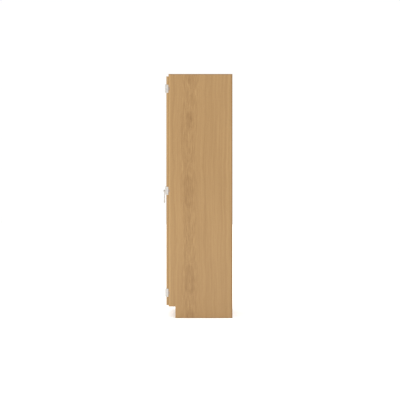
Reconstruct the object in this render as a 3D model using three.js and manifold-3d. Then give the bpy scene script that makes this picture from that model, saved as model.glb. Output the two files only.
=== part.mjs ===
// A tall pantry cabinet with two full-height doors: a veneered oak carcass on a recessed toe kick,
// one fixed and three adjustable shelves, five-knuckle overlay hinges, a lever handle that throws a
// three-point latch in the right door, and two slide bolts in the left door.
//
// Millimetres, +Z up, front towards -Y. The origin is on the floor, at the centre of the overall
// width and of the overall depth, lever handle included.
import * as THREE from "three";
import { mergeVertices } from "three/addons/utils/BufferGeometryUtils.js";
import Module from "manifold-3d";

const wasm = await Module();
wasm.setup();

// ---- Driving dimensions -------------------------------------------------------------------------
const WIDTH = 914.4; // 36 in
const HEIGHT = 2133.6; // 84 in
const CARCASS_DEPTH = 558.8; // 22 in, without the doors
const BOARD = 18.3; // sides, doors, rails: nominal 3/4 in plywood
const THICK_BOARD = 25.4; // top, bottom and shelves: 1 in
const BACK_BOARD = 6.3; // nominal 1/4 in plywood
const FIT = 0.3; // gap left between pieces that touch

const TOE_HEIGHT = 101.6;
const TOE_DEPTH = 60;
const RAIL_HEIGHT = 89; // hanging rails behind the back panel

const DOOR_GAP = 0.75; // between the carcass's front edges and a closed door
const DOOR_TOP_REVEAL = 20.6; // top panel edge left showing above the doors
const DOOR_BOTTOM_REVEAL = 12.7; // bottom panel edge left showing below the doors
const DOOR_INSET = 2.6; // door edge behind the side panel's outer face
const DOOR_CENTRE_GAP = 3;
const HANDLE_REACH = 39.15; // lock plug's face in front of the doors

const SHELF_SETBACK = 45; // shelf front edges behind the carcass's front edges
const HOLE_PITCH = 64; // between shelf pin holes
const HOLES_IN_ROW = 10;
const HOLE_ROW_MARGIN = 180; // first hole above the board that starts the row
const PIN_RADIUS = 2.5;
const HOLE_RADIUS = 2.8;
const HOLE_DEPTH = 10;

const HINGE_HEIGHT = 70; // 2 3/4 in
const HINGE_FROM_DOOR_END = 108; // centre of the top and bottom hinges
const LEAF = 2; // hinge leaf thickness
const KNUCKLE_RADIUS = 5;
const HINGE_PIN_RADIUS = 2.4;
const HINGE_BORE_RADIUS = 2.7;

const LATCH_FROM_CENTRE = 45; // spindle to the cabinet's centre plane
const CAM_PIN_ORBIT = 15; // cam pins' distance from the spindle
const ROD_TIP_CLEARANCE = 5; // between a retracted rod or bolt and its strike plate
const BOLT_FROM_CENTRE = 22; // left door's slide bolts to the centre plane

// ---- Planes that follow from them -----------------------------------------------------------------
const BACK_Y = (CARCASS_DEPTH + DOOR_GAP + BOARD + HANDLE_REACH) / 2;
const FRONT_Y = BACK_Y - CARCASS_DEPTH;
// The y of a plane so many millimetres in front of the carcass's front edges.
const ahead = (distance) => FRONT_Y - distance;
const DOOR_FRONT = DOOR_GAP + BOARD; // the door's front face, as such a distance
const SIDE_X = WIDTH / 2 - BOARD; // inner faces of the side panels
const INSIDE_X = SIDE_X - FIT; // ends of the boards that stand between the sides
const BACK_PANEL_REAR_Y = BACK_Y - BOARD - FIT;
const BACK_PANEL_FRONT_Y = BACK_PANEL_REAR_Y - BACK_BOARD;
const FLOOR_TOP_Z = TOE_HEIGHT + THICK_BOARD; // upper face of the bottom panel
const CEILING_Z = HEIGHT - THICK_BOARD; // lower face of the top panel
const DOOR_BOTTOM_Z = TOE_HEIGHT + DOOR_BOTTOM_REVEAL;
const DOOR_TOP_Z = HEIGHT - DOOR_TOP_REVEAL;
const DOOR_CENTRE_Z = (DOOR_BOTTOM_Z + DOOR_TOP_Z) / 2;
const FIXED_SHELF_Z = (FLOOR_TOP_Z + CEILING_Z - THICK_BOARD) / 2; // its lower face

// ---- Materials --------------------------------------------------------------------------------------
const finish = (color, roughness, metalness) =>
  new THREE.MeshStandardMaterial({ color, roughness, metalness });
const OAK = finish(0xc49a66, 0.45, 0);
const OAK_BACK = finish(0xc9a373, 0.55, 0);
const DULL_CHROME = finish(0xc9c8c2, 0.3, 1);
const ZINC_STEEL = finish(0xb9bcc0, 0.4, 1);
const NICKEL = finish(0xbfb9ac, 0.3, 1);
const NYLON = finish(0xe8e6df, 0.5, 0);

// ---- Solids -------------------------------------------------------------------------------------------
// A closed geometry as a manifold-3d solid, with its shared vertices merged.
function solid(geometry) {
  geometry.deleteAttribute("normal");
  geometry.deleteAttribute("uv");
  const merged = mergeVertices(geometry);
  return new wasm.Manifold(
    new wasm.Mesh({
      numProp: 3,
      vertProperties: merged.attributes.position.array,
      triVerts: new Uint32Array(merged.index.array),
    }),
  );
}

// A box between two x, two y and two z planes, each pair in either order.
function block([x0, x1], [y0, y1], [z0, z1]) {
  const geometry = new THREE.BoxGeometry(
    Math.abs(x1 - x0),
    Math.abs(y1 - y0),
    Math.abs(z1 - z0),
  );
  return solid(
    geometry.translate((x0 + x1) / 2, (y0 + y1) / 2, (z0 + z1) / 2),
  );
}

// A cylinder along axis, between two planes. Its centre is given in the other two axes, in order.
function bar(axis, radius, [first, second], [from, to], sides = 12) {
  const length = Math.abs(to - from);
  const middle = (from + to) / 2;
  const geometry = new THREE.CylinderGeometry(radius, radius, length, sides);
  if (axis === "x") {
    geometry.rotateZ(Math.PI / 2).translate(middle, first, second);
  } else if (axis === "y") {
    geometry.translate(first, middle, second);
  } else {
    geometry.rotateX(Math.PI / 2).translate(first, second, middle);
  }
  return solid(geometry);
}

// An interval widened by a millimetre at each end, for a tool that has to pass right through.
const through = (ends) => [Math.min(...ends) - 1, Math.max(...ends) + 1];

const join = (first, ...others) => others.reduce((a, b) => a.add(b), first);
const cut = (body, ...tools) => tools.reduce((a, b) => a.subtract(b), body);

const cabinet = new THREE.Group();

// Adds a solid to the cabinet as one named mesh.
function piece(name, body, material) {
  const { numProp, vertProperties, triVerts } = body.getMesh();
  const positions = new Float32Array((vertProperties.length / numProp) * 3);
  for (let i = 0; i < positions.length / 3; i++) {
    positions.set(vertProperties.subarray(i * numProp, i * numProp + 3), i * 3);
  }
  const geometry = new THREE.BufferGeometry();
  geometry.setAttribute("position", new THREE.BufferAttribute(positions, 3));
  geometry.setIndex(new THREE.BufferAttribute(new Uint32Array(triVerts), 1));
  const mesh = new THREE.Mesh(geometry, material);
  mesh.name = name;
  cabinet.add(mesh);
}

// ---- Carcass ----------------------------------------------------------------------------------------
const SIDES = { left: -1, right: 1 };
const HOLE_ROWS_Y = [ahead(-SHELF_SETBACK - 37), BACK_PANEL_FRONT_Y - 60];
const LOWER_HOLES_Z = FLOOR_TOP_Z + HOLE_ROW_MARGIN;
const UPPER_HOLES_Z = FIXED_SHELF_Z + THICK_BOARD + HOLE_ROW_MARGIN;

// Side panel: notched for the toe kick, grooved for the back panel and bored for shelf pins.
function sidePanel(side) {
  const outer = (side * WIDTH) / 2;
  const inner = side * SIDE_X;
  const groove_depth = 8;
  const notch = block(
    [outer + side, inner - side],
    [ahead(1), ahead(-TOE_DEPTH)],
    [-1, TOE_HEIGHT],
  );
  const groove = block(
    [inner - side, inner + side * groove_depth],
    [BACK_PANEL_FRONT_Y - FIT, BACK_PANEL_REAR_Y + FIT],
    [TOE_HEIGHT, HEIGHT + 1],
  );
  const holes = [];
  for (const y of HOLE_ROWS_Y) {
    for (const first of [LOWER_HOLES_Z, UPPER_HOLES_Z]) {
      for (let i = 0; i < HOLES_IN_ROW; i++) {
        const bore = [inner - side, inner + side * HOLE_DEPTH];
        holes.push(
          bar("x", HOLE_RADIUS, [y, first + i * HOLE_PITCH], bore, 8),
        );
      }
    }
  }
  const panel = block([outer, inner], [FRONT_Y, BACK_Y], [0, HEIGHT]);
  return cut(panel, notch, groove, ...holes);
}

// A board between the side panels.
function crossBoard(y, z) {
  return block([-INSIDE_X, INSIDE_X], y, z);
}

// ---- Three-point latch and slide bolts: shared planes -------------------------------------------------
// A flat bar on a door's back: its planes, as distances ahead of the carcass's front edges.
const BAR_FRONT = -8;
const BAR_THICKNESS = 4;
const BAR_REAR = BAR_FRONT - BAR_THICKNESS;
const ROD_WIDTH = 12;
const BOLT_WIDTH = 10;
const SLOT_CLEARANCE = 1.2;
const STRIKE_THICKNESS = 1.5;
const STRIKE_DEPTH = 18;

// The cam's pins swing through a quarter turn centred on the horizontal, so the rods move by
// sqrt(2) of the orbit and almost in step with the handle.
const ROD_TRAVEL = CAM_PIN_ORBIT * Math.SQRT2;
const CAM_PIN_RADIUS = 2;
const PIN_NEAR_X = CAM_PIN_ORBIT * Math.SQRT1_2; // a pin's offset at either end of the turn
const ROD_OFFSET = (PIN_NEAR_X + CAM_PIN_ORBIT) / 2; // rods' centre lines from the spindle
const ROD_X = {
  upper: LATCH_FROM_CENTRE + ROD_OFFSET,
  lower: LATCH_FROM_CENTRE - ROD_OFFSET,
};
const BOLT_TRAVEL = 16;

// The room that a flat bar of this width needs, along z.
function barSlot(x, width, z) {
  const half = width / 2 + SLOT_CLEARANCE;
  return block(
    [x - half, x + half],
    [ahead(BAR_FRONT + SLOT_CLEARANCE), ahead(BAR_REAR - SLOT_CLEARANCE)],
    z,
  );
}

// The holes that the rod and the bolt enter, in the top panel, the bottom panel and their strikes.
function strikeHoles(rod, z) {
  return [
    barSlot(ROD_X[rod], ROD_WIDTH, z),
    barSlot(-BOLT_FROM_CENTRE, BOLT_WIDTH, z),
  ];
}

function strikePlate(rod, z) {
  const margin = 14;
  const plate = block(
    [-BOLT_FROM_CENTRE - margin, ROD_X[rod] + margin],
    [ahead(-1), ahead(-1 - STRIKE_DEPTH)],
    z,
  );
  return cut(plate, ...strikeHoles(rod, through(z)));
}

const STRIKE_HOLE_DEPTH = ROD_TRAVEL - ROD_TIP_CLEARANCE + 1;
const TOP_STRIKE_Z = [CEILING_Z - FIT - STRIKE_THICKNESS, CEILING_Z - FIT];
const BOTTOM_STRIKE_Z = [
  FLOOR_TOP_Z + FIT,
  FLOOR_TOP_Z + FIT + STRIKE_THICKNESS,
];

function addCarcass() {
  for (const [name, side] of Object.entries(SIDES)) {
    piece(`${name}_side_panel`, sidePanel(side), OAK);
  }
  const inner_y = [FRONT_Y, BACK_PANEL_FRONT_Y - FIT];
  const top = crossBoard(inner_y, [CEILING_Z, HEIGHT]);
  const bottom = crossBoard(inner_y, [TOE_HEIGHT, FLOOR_TOP_Z]);
  const top_holes = [CEILING_Z - 1, CEILING_Z + STRIKE_HOLE_DEPTH];
  const bottom_holes = [FLOOR_TOP_Z - STRIKE_HOLE_DEPTH, FLOOR_TOP_Z + 1];
  piece("top_panel", cut(top, ...strikeHoles("upper", top_holes)), OAK);
  piece(
    "bottom_panel",
    cut(bottom, ...strikeHoles("lower", bottom_holes)),
    OAK,
  );
  piece("top_strike_plate", strikePlate("upper", TOP_STRIKE_Z), NICKEL);
  piece("bottom_strike_plate", strikePlate("lower", BOTTOM_STRIKE_Z), NICKEL);

  const toe_y = ahead(-TOE_DEPTH - 1);
  const under_floor = [0, TOE_HEIGHT - FIT];
  piece("toe_kick_board", crossBoard([toe_y, toe_y + BOARD], under_floor), OAK);
  const rail_y = [BACK_Y - BOARD, BACK_Y];
  piece("rear_base_rail", crossBoard(rail_y, under_floor), OAK);
  piece(
    "bottom_hanging_rail",
    crossBoard(rail_y, [TOE_HEIGHT + FIT, TOE_HEIGHT + FIT + RAIL_HEIGHT]),
    OAK,
  );
  piece(
    "top_hanging_rail",
    crossBoard(rail_y, [HEIGHT - RAIL_HEIGHT, HEIGHT]),
    OAK,
  );
  const tongue = 7.4; // of the back panel in each side's groove
  piece(
    "back_panel",
    block(
      [-SIDE_X - tongue, SIDE_X + tongue],
      [BACK_PANEL_FRONT_Y, BACK_PANEL_REAR_Y],
      [TOE_HEIGHT + FIT, HEIGHT],
    ),
    OAK_BACK,
  );
}

// ---- Shelves and their supports ---------------------------------------------------------------------
const SHELF_Y = [ahead(-SHELF_SETBACK), BACK_PANEL_FRONT_Y - 3];
const ADJUSTABLE_SHELVES = {
  lower: LOWER_HOLES_Z + 5 * HOLE_PITCH, // the pin holes that each shelf stands on
  middle: UPPER_HOLES_Z + 2 * HOLE_PITCH,
  upper: UPPER_HOLES_Z + 7 * HOLE_PITCH,
};
const SUPPORT_RISE = 4; // from a support's pin to the ledge's upper face

// Shelf support: a pin in the side panel, a back plate and a ledge under the shelf.
function shelfSupport(side, y, z) {
  const face = SIDE_X - FIT;
  const plate_thickness = 1.6;
  const ledge_length = 13;
  const half_width = 5;
  const along_y = [y - half_width, y + half_width];
  const ledge_z = [z + SUPPORT_RISE - plate_thickness, z + SUPPORT_RISE];
  const plate_x = [side * face, side * (face - plate_thickness)];
  const ledge_x = [side * face, side * (face - ledge_length)];
  const pin_x = [side * (SIDE_X + HOLE_DEPTH - 1), side * (face - 1)];
  return join(
    block(plate_x, along_y, [z - 9, z + SUPPORT_RISE]),
    block(ledge_x, along_y, ledge_z),
    bar("x", PIN_RADIUS, [y, z], pin_x, 8),
  );
}

function addShelves() {
  piece(
    "fixed_middle_shelf",
    crossBoard(SHELF_Y, [FIXED_SHELF_Z, FIXED_SHELF_Z + THICK_BOARD]),
    OAK,
  );
  const end_play = 1.5;
  for (const [name, hole_z] of Object.entries(ADJUSTABLE_SHELVES)) {
    const under = hole_z + SUPPORT_RISE + FIT;
    const half = SIDE_X - end_play;
    piece(
      `adjustable_shelf_${name}`,
      block([-half, half], SHELF_Y, [under, under + THICK_BOARD]),
      OAK,
    );
    for (const [side_name, side] of Object.entries(SIDES)) {
      HOLE_ROWS_Y.forEach((y, row) => {
        const end = row === 0 ? "front" : "rear";
        piece(
          `shelf_support_${name}_${side_name}_${end}`,
          shelfSupport(side, y, hole_z),
          NICKEL,
        );
      });
    }
  }
}

// ---- Five-knuckle hinges ------------------------------------------------------------------------------
// A hinge is drawn in plan. out is a distance outwards from the side panel's outer face, so it is
// negative inside, and ahead is a distance in front of the carcass's front edges.
const HINGE_AXIS = {
  out: -FIT - KNUCKLE_RADIUS,
  ahead: DOOR_FRONT + 0.6 + KNUCKLE_RADIUS,
};
const STRAP_OUT = -FIT - LEAF / 2; // centre plane of the straps beside the door's edge
const FLANGE_AHEAD = FIT + LEAF / 2; // centre plane of the leaf layer behind the door
const BEND_RADIUS = 1.6; // at the leaf's middle
const FRAME_PLATE_OUT = -BOARD - FIT - LEAF / 2;
const FRAME_PLATE_LENGTH = 34;
const DOOR_PLATE_OUT = [-52, -23.5];
const KNUCKLE_GAP = 0.4;
const KNUCKLE_PITCH = HINGE_HEIGHT / 5;
const hingeX = (side, out) => side * (WIDTH / 2 + out);

// The outline of sheet metal of the leaf's thickness that follows a path with rounded bends.
function sheetOutline(side, corners) {
  const centre_line = [];
  corners.forEach((corner, i) => {
    const point = new THREE.Vector2(...corner);
    if (i === 0 || i === corners.length - 1) {
      centre_line.push(point);
      return;
    }
    const before = new THREE.Vector2(...corners[i - 1]);
    const after = new THREE.Vector2(...corners[i + 1]);
    const start = before.sub(point).setLength(BEND_RADIUS).add(point);
    const end = after.sub(point).setLength(BEND_RADIUS).add(point);
    const bend = new THREE.QuadraticBezierCurve(start, point, end);
    centre_line.push(...bend.getPoints(3));
  });
  const edge = (half) =>
    centre_line.map((point, i) => {
      const last = centre_line.length - 1;
      const from = centre_line[Math.max(i - 1, 0)];
      const to = centre_line[Math.min(i + 1, last)];
      const along = to.clone().sub(from).normalize();
      return new THREE.Vector2(
        point.x - along.y * half,
        point.y + along.x * half,
      );
    });
  const outline = [...edge(LEAF / 2), ...edge(-LEAF / 2).reverse()];
  return new THREE.Shape(
    outline.map((p) => new THREE.Vector2(hingeX(side, p.x), ahead(p.y))),
  );
}

// One strap of a leaf with its knuckle, number 0 to 4 counted from the bottom of the hinge.
function knuckleStrap(side, corners, centre_z, number) {
  const bottom = centre_z - HINGE_HEIGHT / 2 + number * KNUCKLE_PITCH;
  const z = [bottom + KNUCKLE_GAP / 2, bottom + KNUCKLE_PITCH - KNUCKLE_GAP / 2];
  const strap = new THREE.ExtrudeGeometry(sheetOutline(side, corners), {
    depth: z[1] - z[0],
    bevelEnabled: false,
  }).translate(0, 0, z[0]);
  const axis = [hingeX(side, HINGE_AXIS.out), ahead(HINGE_AXIS.ahead)];
  return join(solid(strap), bar("z", KNUCKLE_RADIUS, axis, z, 12));
}

function hingeLeaf(side, corners, centre_z, knuckles, plate) {
  const straps = knuckles.map((n) => knuckleStrap(side, corners, centre_z, n));
  const axis = [hingeX(side, HINGE_AXIS.out), ahead(HINGE_AXIS.ahead)];
  const span = [centre_z - HINGE_HEIGHT, centre_z + HINGE_HEIGHT];
  return cut(
    join(plate, ...straps),
    bar("z", HINGE_BORE_RADIUS, axis, span, 10),
  );
}

// Frame leaf: knuckles 2 and 4, straps round the side panel's front edge, plate on its inner face.
function frameLeaf(side, centre_z) {
  const corners = [
    [STRAP_OUT, HINGE_AXIS.ahead],
    [STRAP_OUT, FLANGE_AHEAD],
    [FRAME_PLATE_OUT, FLANGE_AHEAD],
    [FRAME_PLATE_OUT, -10],
  ];
  const half = LEAF / 2;
  const plate = block(
    [
      hingeX(side, FRAME_PLATE_OUT - half),
      hingeX(side, FRAME_PLATE_OUT + half),
    ],
    [ahead(-0.8), ahead(-FRAME_PLATE_LENGTH)],
    [centre_z - HINGE_HEIGHT / 2, centre_z + HINGE_HEIGHT / 2],
  );
  return hingeLeaf(side, corners, centre_z, [1, 3], plate);
}

// Door leaf: knuckles 1, 3 and 5, straps round the door's edge, plate let into the door's back.
function doorLeaf(side, centre_z) {
  const corners = [
    [STRAP_OUT, HINGE_AXIS.ahead],
    [STRAP_OUT, FLANGE_AHEAD],
    [DOOR_PLATE_OUT[1] - 5, FLANGE_AHEAD],
  ];
  const plate = block(
    DOOR_PLATE_OUT.map((out) => hingeX(side, out)),
    [ahead(FLANGE_AHEAD - LEAF / 2), ahead(FLANGE_AHEAD + LEAF / 2)],
    [centre_z - HINGE_HEIGHT / 2, centre_z + HINGE_HEIGHT / 2],
  );
  return hingeLeaf(side, corners, centre_z, [0, 2, 4], plate);
}

// Hinge pin with a button tip at each end.
function hingePin(side, centre_z) {
  const axis = [hingeX(side, HINGE_AXIS.out), ahead(HINGE_AXIS.ahead)];
  const tip = 2.6;
  const end = HINGE_HEIGHT / 2 + FIT;
  const tips = [-1, 1].map((way) => {
    const z = [centre_z + way * end, centre_z + way * (end + tip)];
    return bar("z", KNUCKLE_RADIUS - 0.6, axis, z, 10);
  });
  const shaft = [centre_z - end - 1, centre_z + end + 1];
  return join(bar("z", HINGE_PIN_RADIUS, axis, shaft, 10), ...tips);
}

const HINGES_Z = {
  bottom: DOOR_BOTTOM_Z + HINGE_FROM_DOOR_END,
  middle: DOOR_CENTRE_Z,
  top: DOOR_TOP_Z - HINGE_FROM_DOOR_END,
};

function addHinges() {
  for (const [side_name, side] of Object.entries(SIDES)) {
    for (const [place, z] of Object.entries(HINGES_Z)) {
      const name = `${side_name}_${place}_hinge`;
      piece(`${name}_frame_leaf`, frameLeaf(side, z), DULL_CHROME);
      piece(`${name}_door_leaf`, doorLeaf(side, z), DULL_CHROME);
      piece(`${name}_pin`, hingePin(side, z), DULL_CHROME);
    }
  }
}

// ---- Doors ----------------------------------------------------------------------------------------
const SPINDLE = [LATCH_FROM_CENTRE, DOOR_CENTRE_Z]; // x and z of the handle's axis
const DOOR_BORE_RADIUS = 8;

// Door panel, with a shallow housing for each hinge's door leaf.
function door(side) {
  const housing_floor = FLANGE_AHEAD + LEAF / 2 + FIT;
  const housings = Object.values(HINGES_Z).map((z) =>
    block(
      [hingeX(side, 1), hingeX(side, DOOR_PLATE_OUT[0] - 0.6)],
      [ahead(0), ahead(housing_floor)],
      [z - HINGE_HEIGHT / 2 - 0.4, z + HINGE_HEIGHT / 2 + 0.4],
    ),
  );
  const panel = block(
    [hingeX(side, -DOOR_INSET), (side * DOOR_CENTRE_GAP) / 2],
    [ahead(DOOR_GAP), ahead(DOOR_FRONT)],
    [DOOR_BOTTOM_Z, DOOR_TOP_Z],
  );
  return cut(panel, ...housings);
}

function addDoors() {
  const bore = through([ahead(DOOR_GAP), ahead(DOOR_FRONT)]);
  piece("left_door", door(SIDES.left), OAK);
  piece(
    "right_door",
    cut(door(SIDES.right), bar("y", DOOR_BORE_RADIUS, SPINDLE, bore)),
    OAK,
  );
}

// ---- Lever handle, lock plug, cam and rods ---------------------------------------------------------
const ROSE_RADIUS = 21;
const ROSE_THICKNESS = 2.5;
const HUB_RADIUS = 13;
const HUB_REACH = 33; // hub's face in front of the door
const PLUG_RADIUS = 7.5;
const PLUG_DEPTH = 17.5; // plug's rear end behind the hub's face
const LEVER_LENGTH = 108; // spindle to tip
const LEVER_REACH = [25.3, 31.8]; // lever's rear and front faces in front of the door
const SPINDLE_HALF = 4; // half the square spindle's side
const CAM_FRONT = -4; // cam disc's front face, ahead of the carcass's front edges
const CAM_THICKNESS = 3;
const STUD_RADIUS = 2.4;
const [SPINDLE_X, SPINDLE_Z] = SPINDLE;
const ROSE_BACK = DOOR_FRONT + FIT;
const HUB_BACK = ROSE_BACK + ROSE_THICKNESS + FIT;
const CAM_BACK = CAM_FRONT - CAM_THICKNESS;
const NUT_THICKNESS = 4;

// Lever seen from the front: it hangs from the hub, narrows a little and ends in a half round.
function leverOutline() {
  const hub_half = 6.5;
  const tip_half = 5.5;
  const shape = new THREE.Shape();
  const tip_z = SPINDLE_Z - LEVER_LENGTH + tip_half;
  shape.moveTo(SPINDLE_X - hub_half, SPINDLE_Z);
  shape.lineTo(SPINDLE_X - tip_half, tip_z);
  shape.absarc(SPINDLE_X, tip_z, tip_half, Math.PI, 2 * Math.PI, false);
  shape.lineTo(SPINDLE_X + hub_half, SPINDLE_Z);
  return shape;
}

function leverHandle() {
  const [rear, front] = LEVER_REACH.map((reach) => DOOR_FRONT + reach);
  const arm = new THREE.ExtrudeGeometry(leverOutline(), {
    depth: front - rear,
    bevelEnabled: false,
    curveSegments: 8,
  });
  // The outline's plane is x and z, so the extrusion is stood up and runs towards the front.
  arm.rotateX(Math.PI / 2).translate(0, ahead(rear), 0);

  const hub_y = [ahead(HUB_BACK), ahead(DOOR_FRONT + HUB_REACH)];
  const hub = bar("y", HUB_RADIUS, SPINDLE, hub_y, 20);
  const grip_z = SPINDLE_Z - 96.5;
  const grip_reach = (rear + front) / 2;
  const grip = bar("x", 4.6, [ahead(grip_reach), grip_z], [SPINDLE_X - 5.2, SPINDLE_X + 5.2], 10);
  const spindle = block(
    [SPINDLE_X - SPINDLE_HALF, SPINDLE_X + SPINDLE_HALF],
    [ahead(HUB_BACK + 2), ahead(CAM_BACK + 0.6)],
    [SPINDLE_Z - SPINDLE_HALF, SPINDLE_Z + SPINDLE_HALF],
  );
  const stud_end = CAM_BACK - FIT - NUT_THICKNESS - 1.5;
  const stud = bar("y", STUD_RADIUS, SPINDLE, [ahead(CAM_BACK + 2), ahead(stud_end)], 8);
  const plug_bore = bar(
    "y",
    PLUG_RADIUS + FIT,
    SPINDLE,
    [ahead(DOOR_FRONT + HUB_REACH + 1), ahead(DOOR_FRONT + HUB_REACH - PLUG_DEPTH - 0.5)],
    16,
  );
  return cut(join(hub, solid(arm), grip, spindle, stud), plug_bore);
}

// Lock plug with its keyway.
function lockPlug() {
  const face = DOOR_FRONT + HANDLE_REACH;
  const rear = DOOR_FRONT + HUB_REACH - PLUG_DEPTH;
  const plug = bar("y", PLUG_RADIUS, SPINDLE, [ahead(rear), ahead(face)], 16);
  const keyway = block(
    [SPINDLE_X - 1.1, SPINDLE_X + 1.1],
    [ahead(face + 1), ahead(face - 9)],
    [SPINDLE_Z - 4.5, SPINDLE_Z + 4.5],
  );
  return cut(plug, keyway);
}

function handleRose() {
  const y = [ahead(ROSE_BACK), ahead(ROSE_BACK + ROSE_THICKNESS)];
  return cut(
    bar("y", ROSE_RADIUS, SPINDLE, y, 24),
    bar("y", DOOR_BORE_RADIUS, SPINDLE, through(y), 12),
  );
}

// Latch cam: a disc with a boss against the door, a pin for each rod, and the centre tongue, which
// points up when the latch is free and swings behind the left door when it is thrown.
function latchCam() {
  const disc_y = [ahead(CAM_FRONT), ahead(CAM_BACK)];
  const boss_front = DOOR_GAP - FIT;
  const tongue_width = 16;
  const tongue_length = 64;
  const pin_reach = BAR_REAR - 1;
  const pins = [-1, 1].map((way) => {
    const at = [SPINDLE_X + way * PIN_NEAR_X, SPINDLE_Z - way * PIN_NEAR_X];
    return bar("y", CAM_PIN_RADIUS, at, [ahead(CAM_FRONT - 1), ahead(pin_reach)], 8);
  });
  const tongue = block(
    [SPINDLE_X - tongue_width / 2, SPINDLE_X + tongue_width / 2],
    [ahead(boss_front - 0.25), ahead(boss_front - 3.25)],
    [SPINDLE_Z, SPINDLE_Z + tongue_length],
  );
  const body = join(
    bar("y", CAM_PIN_ORBIT + 4, SPINDLE, disc_y, 20),
    bar("y", 9, SPINDLE, [ahead(boss_front), ahead(CAM_FRONT - 1)], 14),
    tongue,
    ...pins,
  );
  const half = SPINDLE_HALF + FIT;
  const square_hole = block(
    [SPINDLE_X - half, SPINDLE_X + half],
    [ahead(boss_front + 1), ahead(CAM_BACK - 1)],
    [SPINDLE_Z - half, SPINDLE_Z + half],
  );
  return cut(body, square_hole);
}

function camNut() {
  const y = [ahead(CAM_BACK - FIT), ahead(CAM_BACK - FIT - NUT_THICKNESS)];
  return cut(
    bar("y", 4.6, SPINDLE, y, 6),
    bar("y", STUD_RADIUS + FIT, SPINDLE, through(y), 8),
  );
}

// Latch rod: a flat bar with a short cross slot round its cam pin. way is 1 up, -1 down.
function latchRod(name, way) {
  const x = ROD_X[name];
  const pin_z = SPINDLE_Z - way * PIN_NEAR_X;
  const tip_z =
    way > 0
      ? TOP_STRIKE_Z[0] - ROD_TIP_CLEARANCE
      : BOTTOM_STRIKE_Z[1] + ROD_TIP_CLEARANCE;
  const y = [ahead(BAR_FRONT), ahead(BAR_REAR)];
  const eye_half = 7.5;
  const slot_half = (CAM_PIN_ORBIT - PIN_NEAR_X) / 2 + CAM_PIN_RADIUS + 0.4;
  const slot_half_z = CAM_PIN_RADIUS + 0.9;
  const body = join(
    block([x - ROD_WIDTH / 2, x + ROD_WIDTH / 2], y, [pin_z, tip_z]),
    block([x - eye_half, x + eye_half], y, [pin_z - 7, pin_z + 7]),
  );
  const slot = block(
    [x - slot_half, x + slot_half],
    through(y),
    [pin_z - slot_half_z, pin_z + slot_half_z],
  );
  return cut(body, slot);
}

// A block screwed to a door's back that a flat bar slides through.
function barGuide(x, width, half_width, z) {
  const guide = block(
    [x - half_width, x + half_width],
    [ahead(DOOR_GAP - FIT), ahead(BAR_REAR - 3)],
    z,
  );
  const half = width / 2 + 0.5;
  const passage = block(
    [x - half, x + half],
    [ahead(BAR_FRONT + 0.5), ahead(BAR_REAR - 0.5)],
    through(z),
  );
  return cut(guide, passage);
}

function addLatch() {
  piece("handle_rose", handleRose(), DULL_CHROME);
  piece("lever_handle", leverHandle(), DULL_CHROME);
  piece("lock_plug", lockPlug(), NICKEL);
  piece("latch_cam", latchCam(), ZINC_STEEL);
  piece("cam_nut", camNut(), ZINC_STEEL);
  piece("upper_latch_rod", latchRod("upper", 1), ZINC_STEEL);
  piece("lower_latch_rod", latchRod("lower", -1), ZINC_STEEL);
  const guide_height = 14;
  const guide_from_tip = 34;
  const upper_z = TOP_STRIKE_Z[0] - ROD_TIP_CLEARANCE - guide_from_tip;
  const lower_z = BOTTOM_STRIKE_Z[1] + ROD_TIP_CLEARANCE + guide_from_tip;
  piece(
    "upper_rod_guide",
    barGuide(ROD_X.upper, ROD_WIDTH, 14, [upper_z - guide_height, upper_z]),
    NYLON,
  );
  piece(
    "lower_rod_guide",
    barGuide(ROD_X.lower, ROD_WIDTH, 14, [lower_z, lower_z + guide_height]),
    NYLON,
  );
}

// ---- Slide bolts on the left door -------------------------------------------------------------------
const BOLT_LENGTH = 88;
const CASE_HEIGHT = 58;
const CASE_FROM_TIP = 12;
const KNOB_RADIUS = 4;

// Bolt: a flat bar with a round thumb knob, drawn at rest. way is 1 up, -1 down.
function slideBolt(tip_z, way) {
  const x = -BOLT_FROM_CENTRE;
  const y = [ahead(BAR_FRONT), ahead(BAR_REAR)];
  const knob_z = tip_z - way * (CASE_FROM_TIP + CASE_HEIGHT / 2 + BOLT_TRAVEL / 2);
  return join(
    block(
      [x - BOLT_WIDTH / 2, x + BOLT_WIDTH / 2],
      y,
      [tip_z, tip_z - way * BOLT_LENGTH],
    ),
    bar("y", KNOB_RADIUS, [x, knob_z], [ahead(BAR_REAR + 1), ahead(BAR_REAR - 13)], 12),
  );
}

// Bolt case: a guide with a slot in its rear wall for the knob's travel.
function boltCase(tip_z, way) {
  const x = -BOLT_FROM_CENTRE;
  const near = tip_z - way * CASE_FROM_TIP;
  const far = near - way * CASE_HEIGHT;
  const z = [Math.min(near, far), Math.max(near, far)];
  const middle = (near + far) / 2;
  const slot_half = BOLT_TRAVEL / 2 + KNOB_RADIUS + 0.6;
  const half_width = KNOB_RADIUS + 0.6;
  const knob_slot = block(
    [x - half_width, x + half_width],
    [ahead(BAR_REAR + 1), ahead(BAR_REAR - 4)],
    [middle - slot_half, middle + slot_half],
  );
  return cut(barGuide(x, BOLT_WIDTH, 11, z), knob_slot);
}

function addSlideBolts() {
  const top_tip = TOP_STRIKE_Z[0] - ROD_TIP_CLEARANCE;
  const bottom_tip = BOTTOM_STRIKE_Z[1] + ROD_TIP_CLEARANCE;
  piece("top_bolt_case", boltCase(top_tip, 1), NICKEL);
  piece("top_slide_bolt", slideBolt(top_tip, 1), ZINC_STEEL);
  piece("bottom_bolt_case", boltCase(bottom_tip, -1), NICKEL);
  piece("bottom_slide_bolt", slideBolt(bottom_tip, -1), ZINC_STEEL);
}

addCarcass();
addShelves();
addHinges();
addDoors();
addLatch();
addSlideBolts();

export default cabinet;
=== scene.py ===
"""A tall oak pantry cabinet with two overlay doors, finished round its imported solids.

Lengths are in metres, +Z is up and the doors face -Y. Sizes written with MM are in millimetres.
"""

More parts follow.
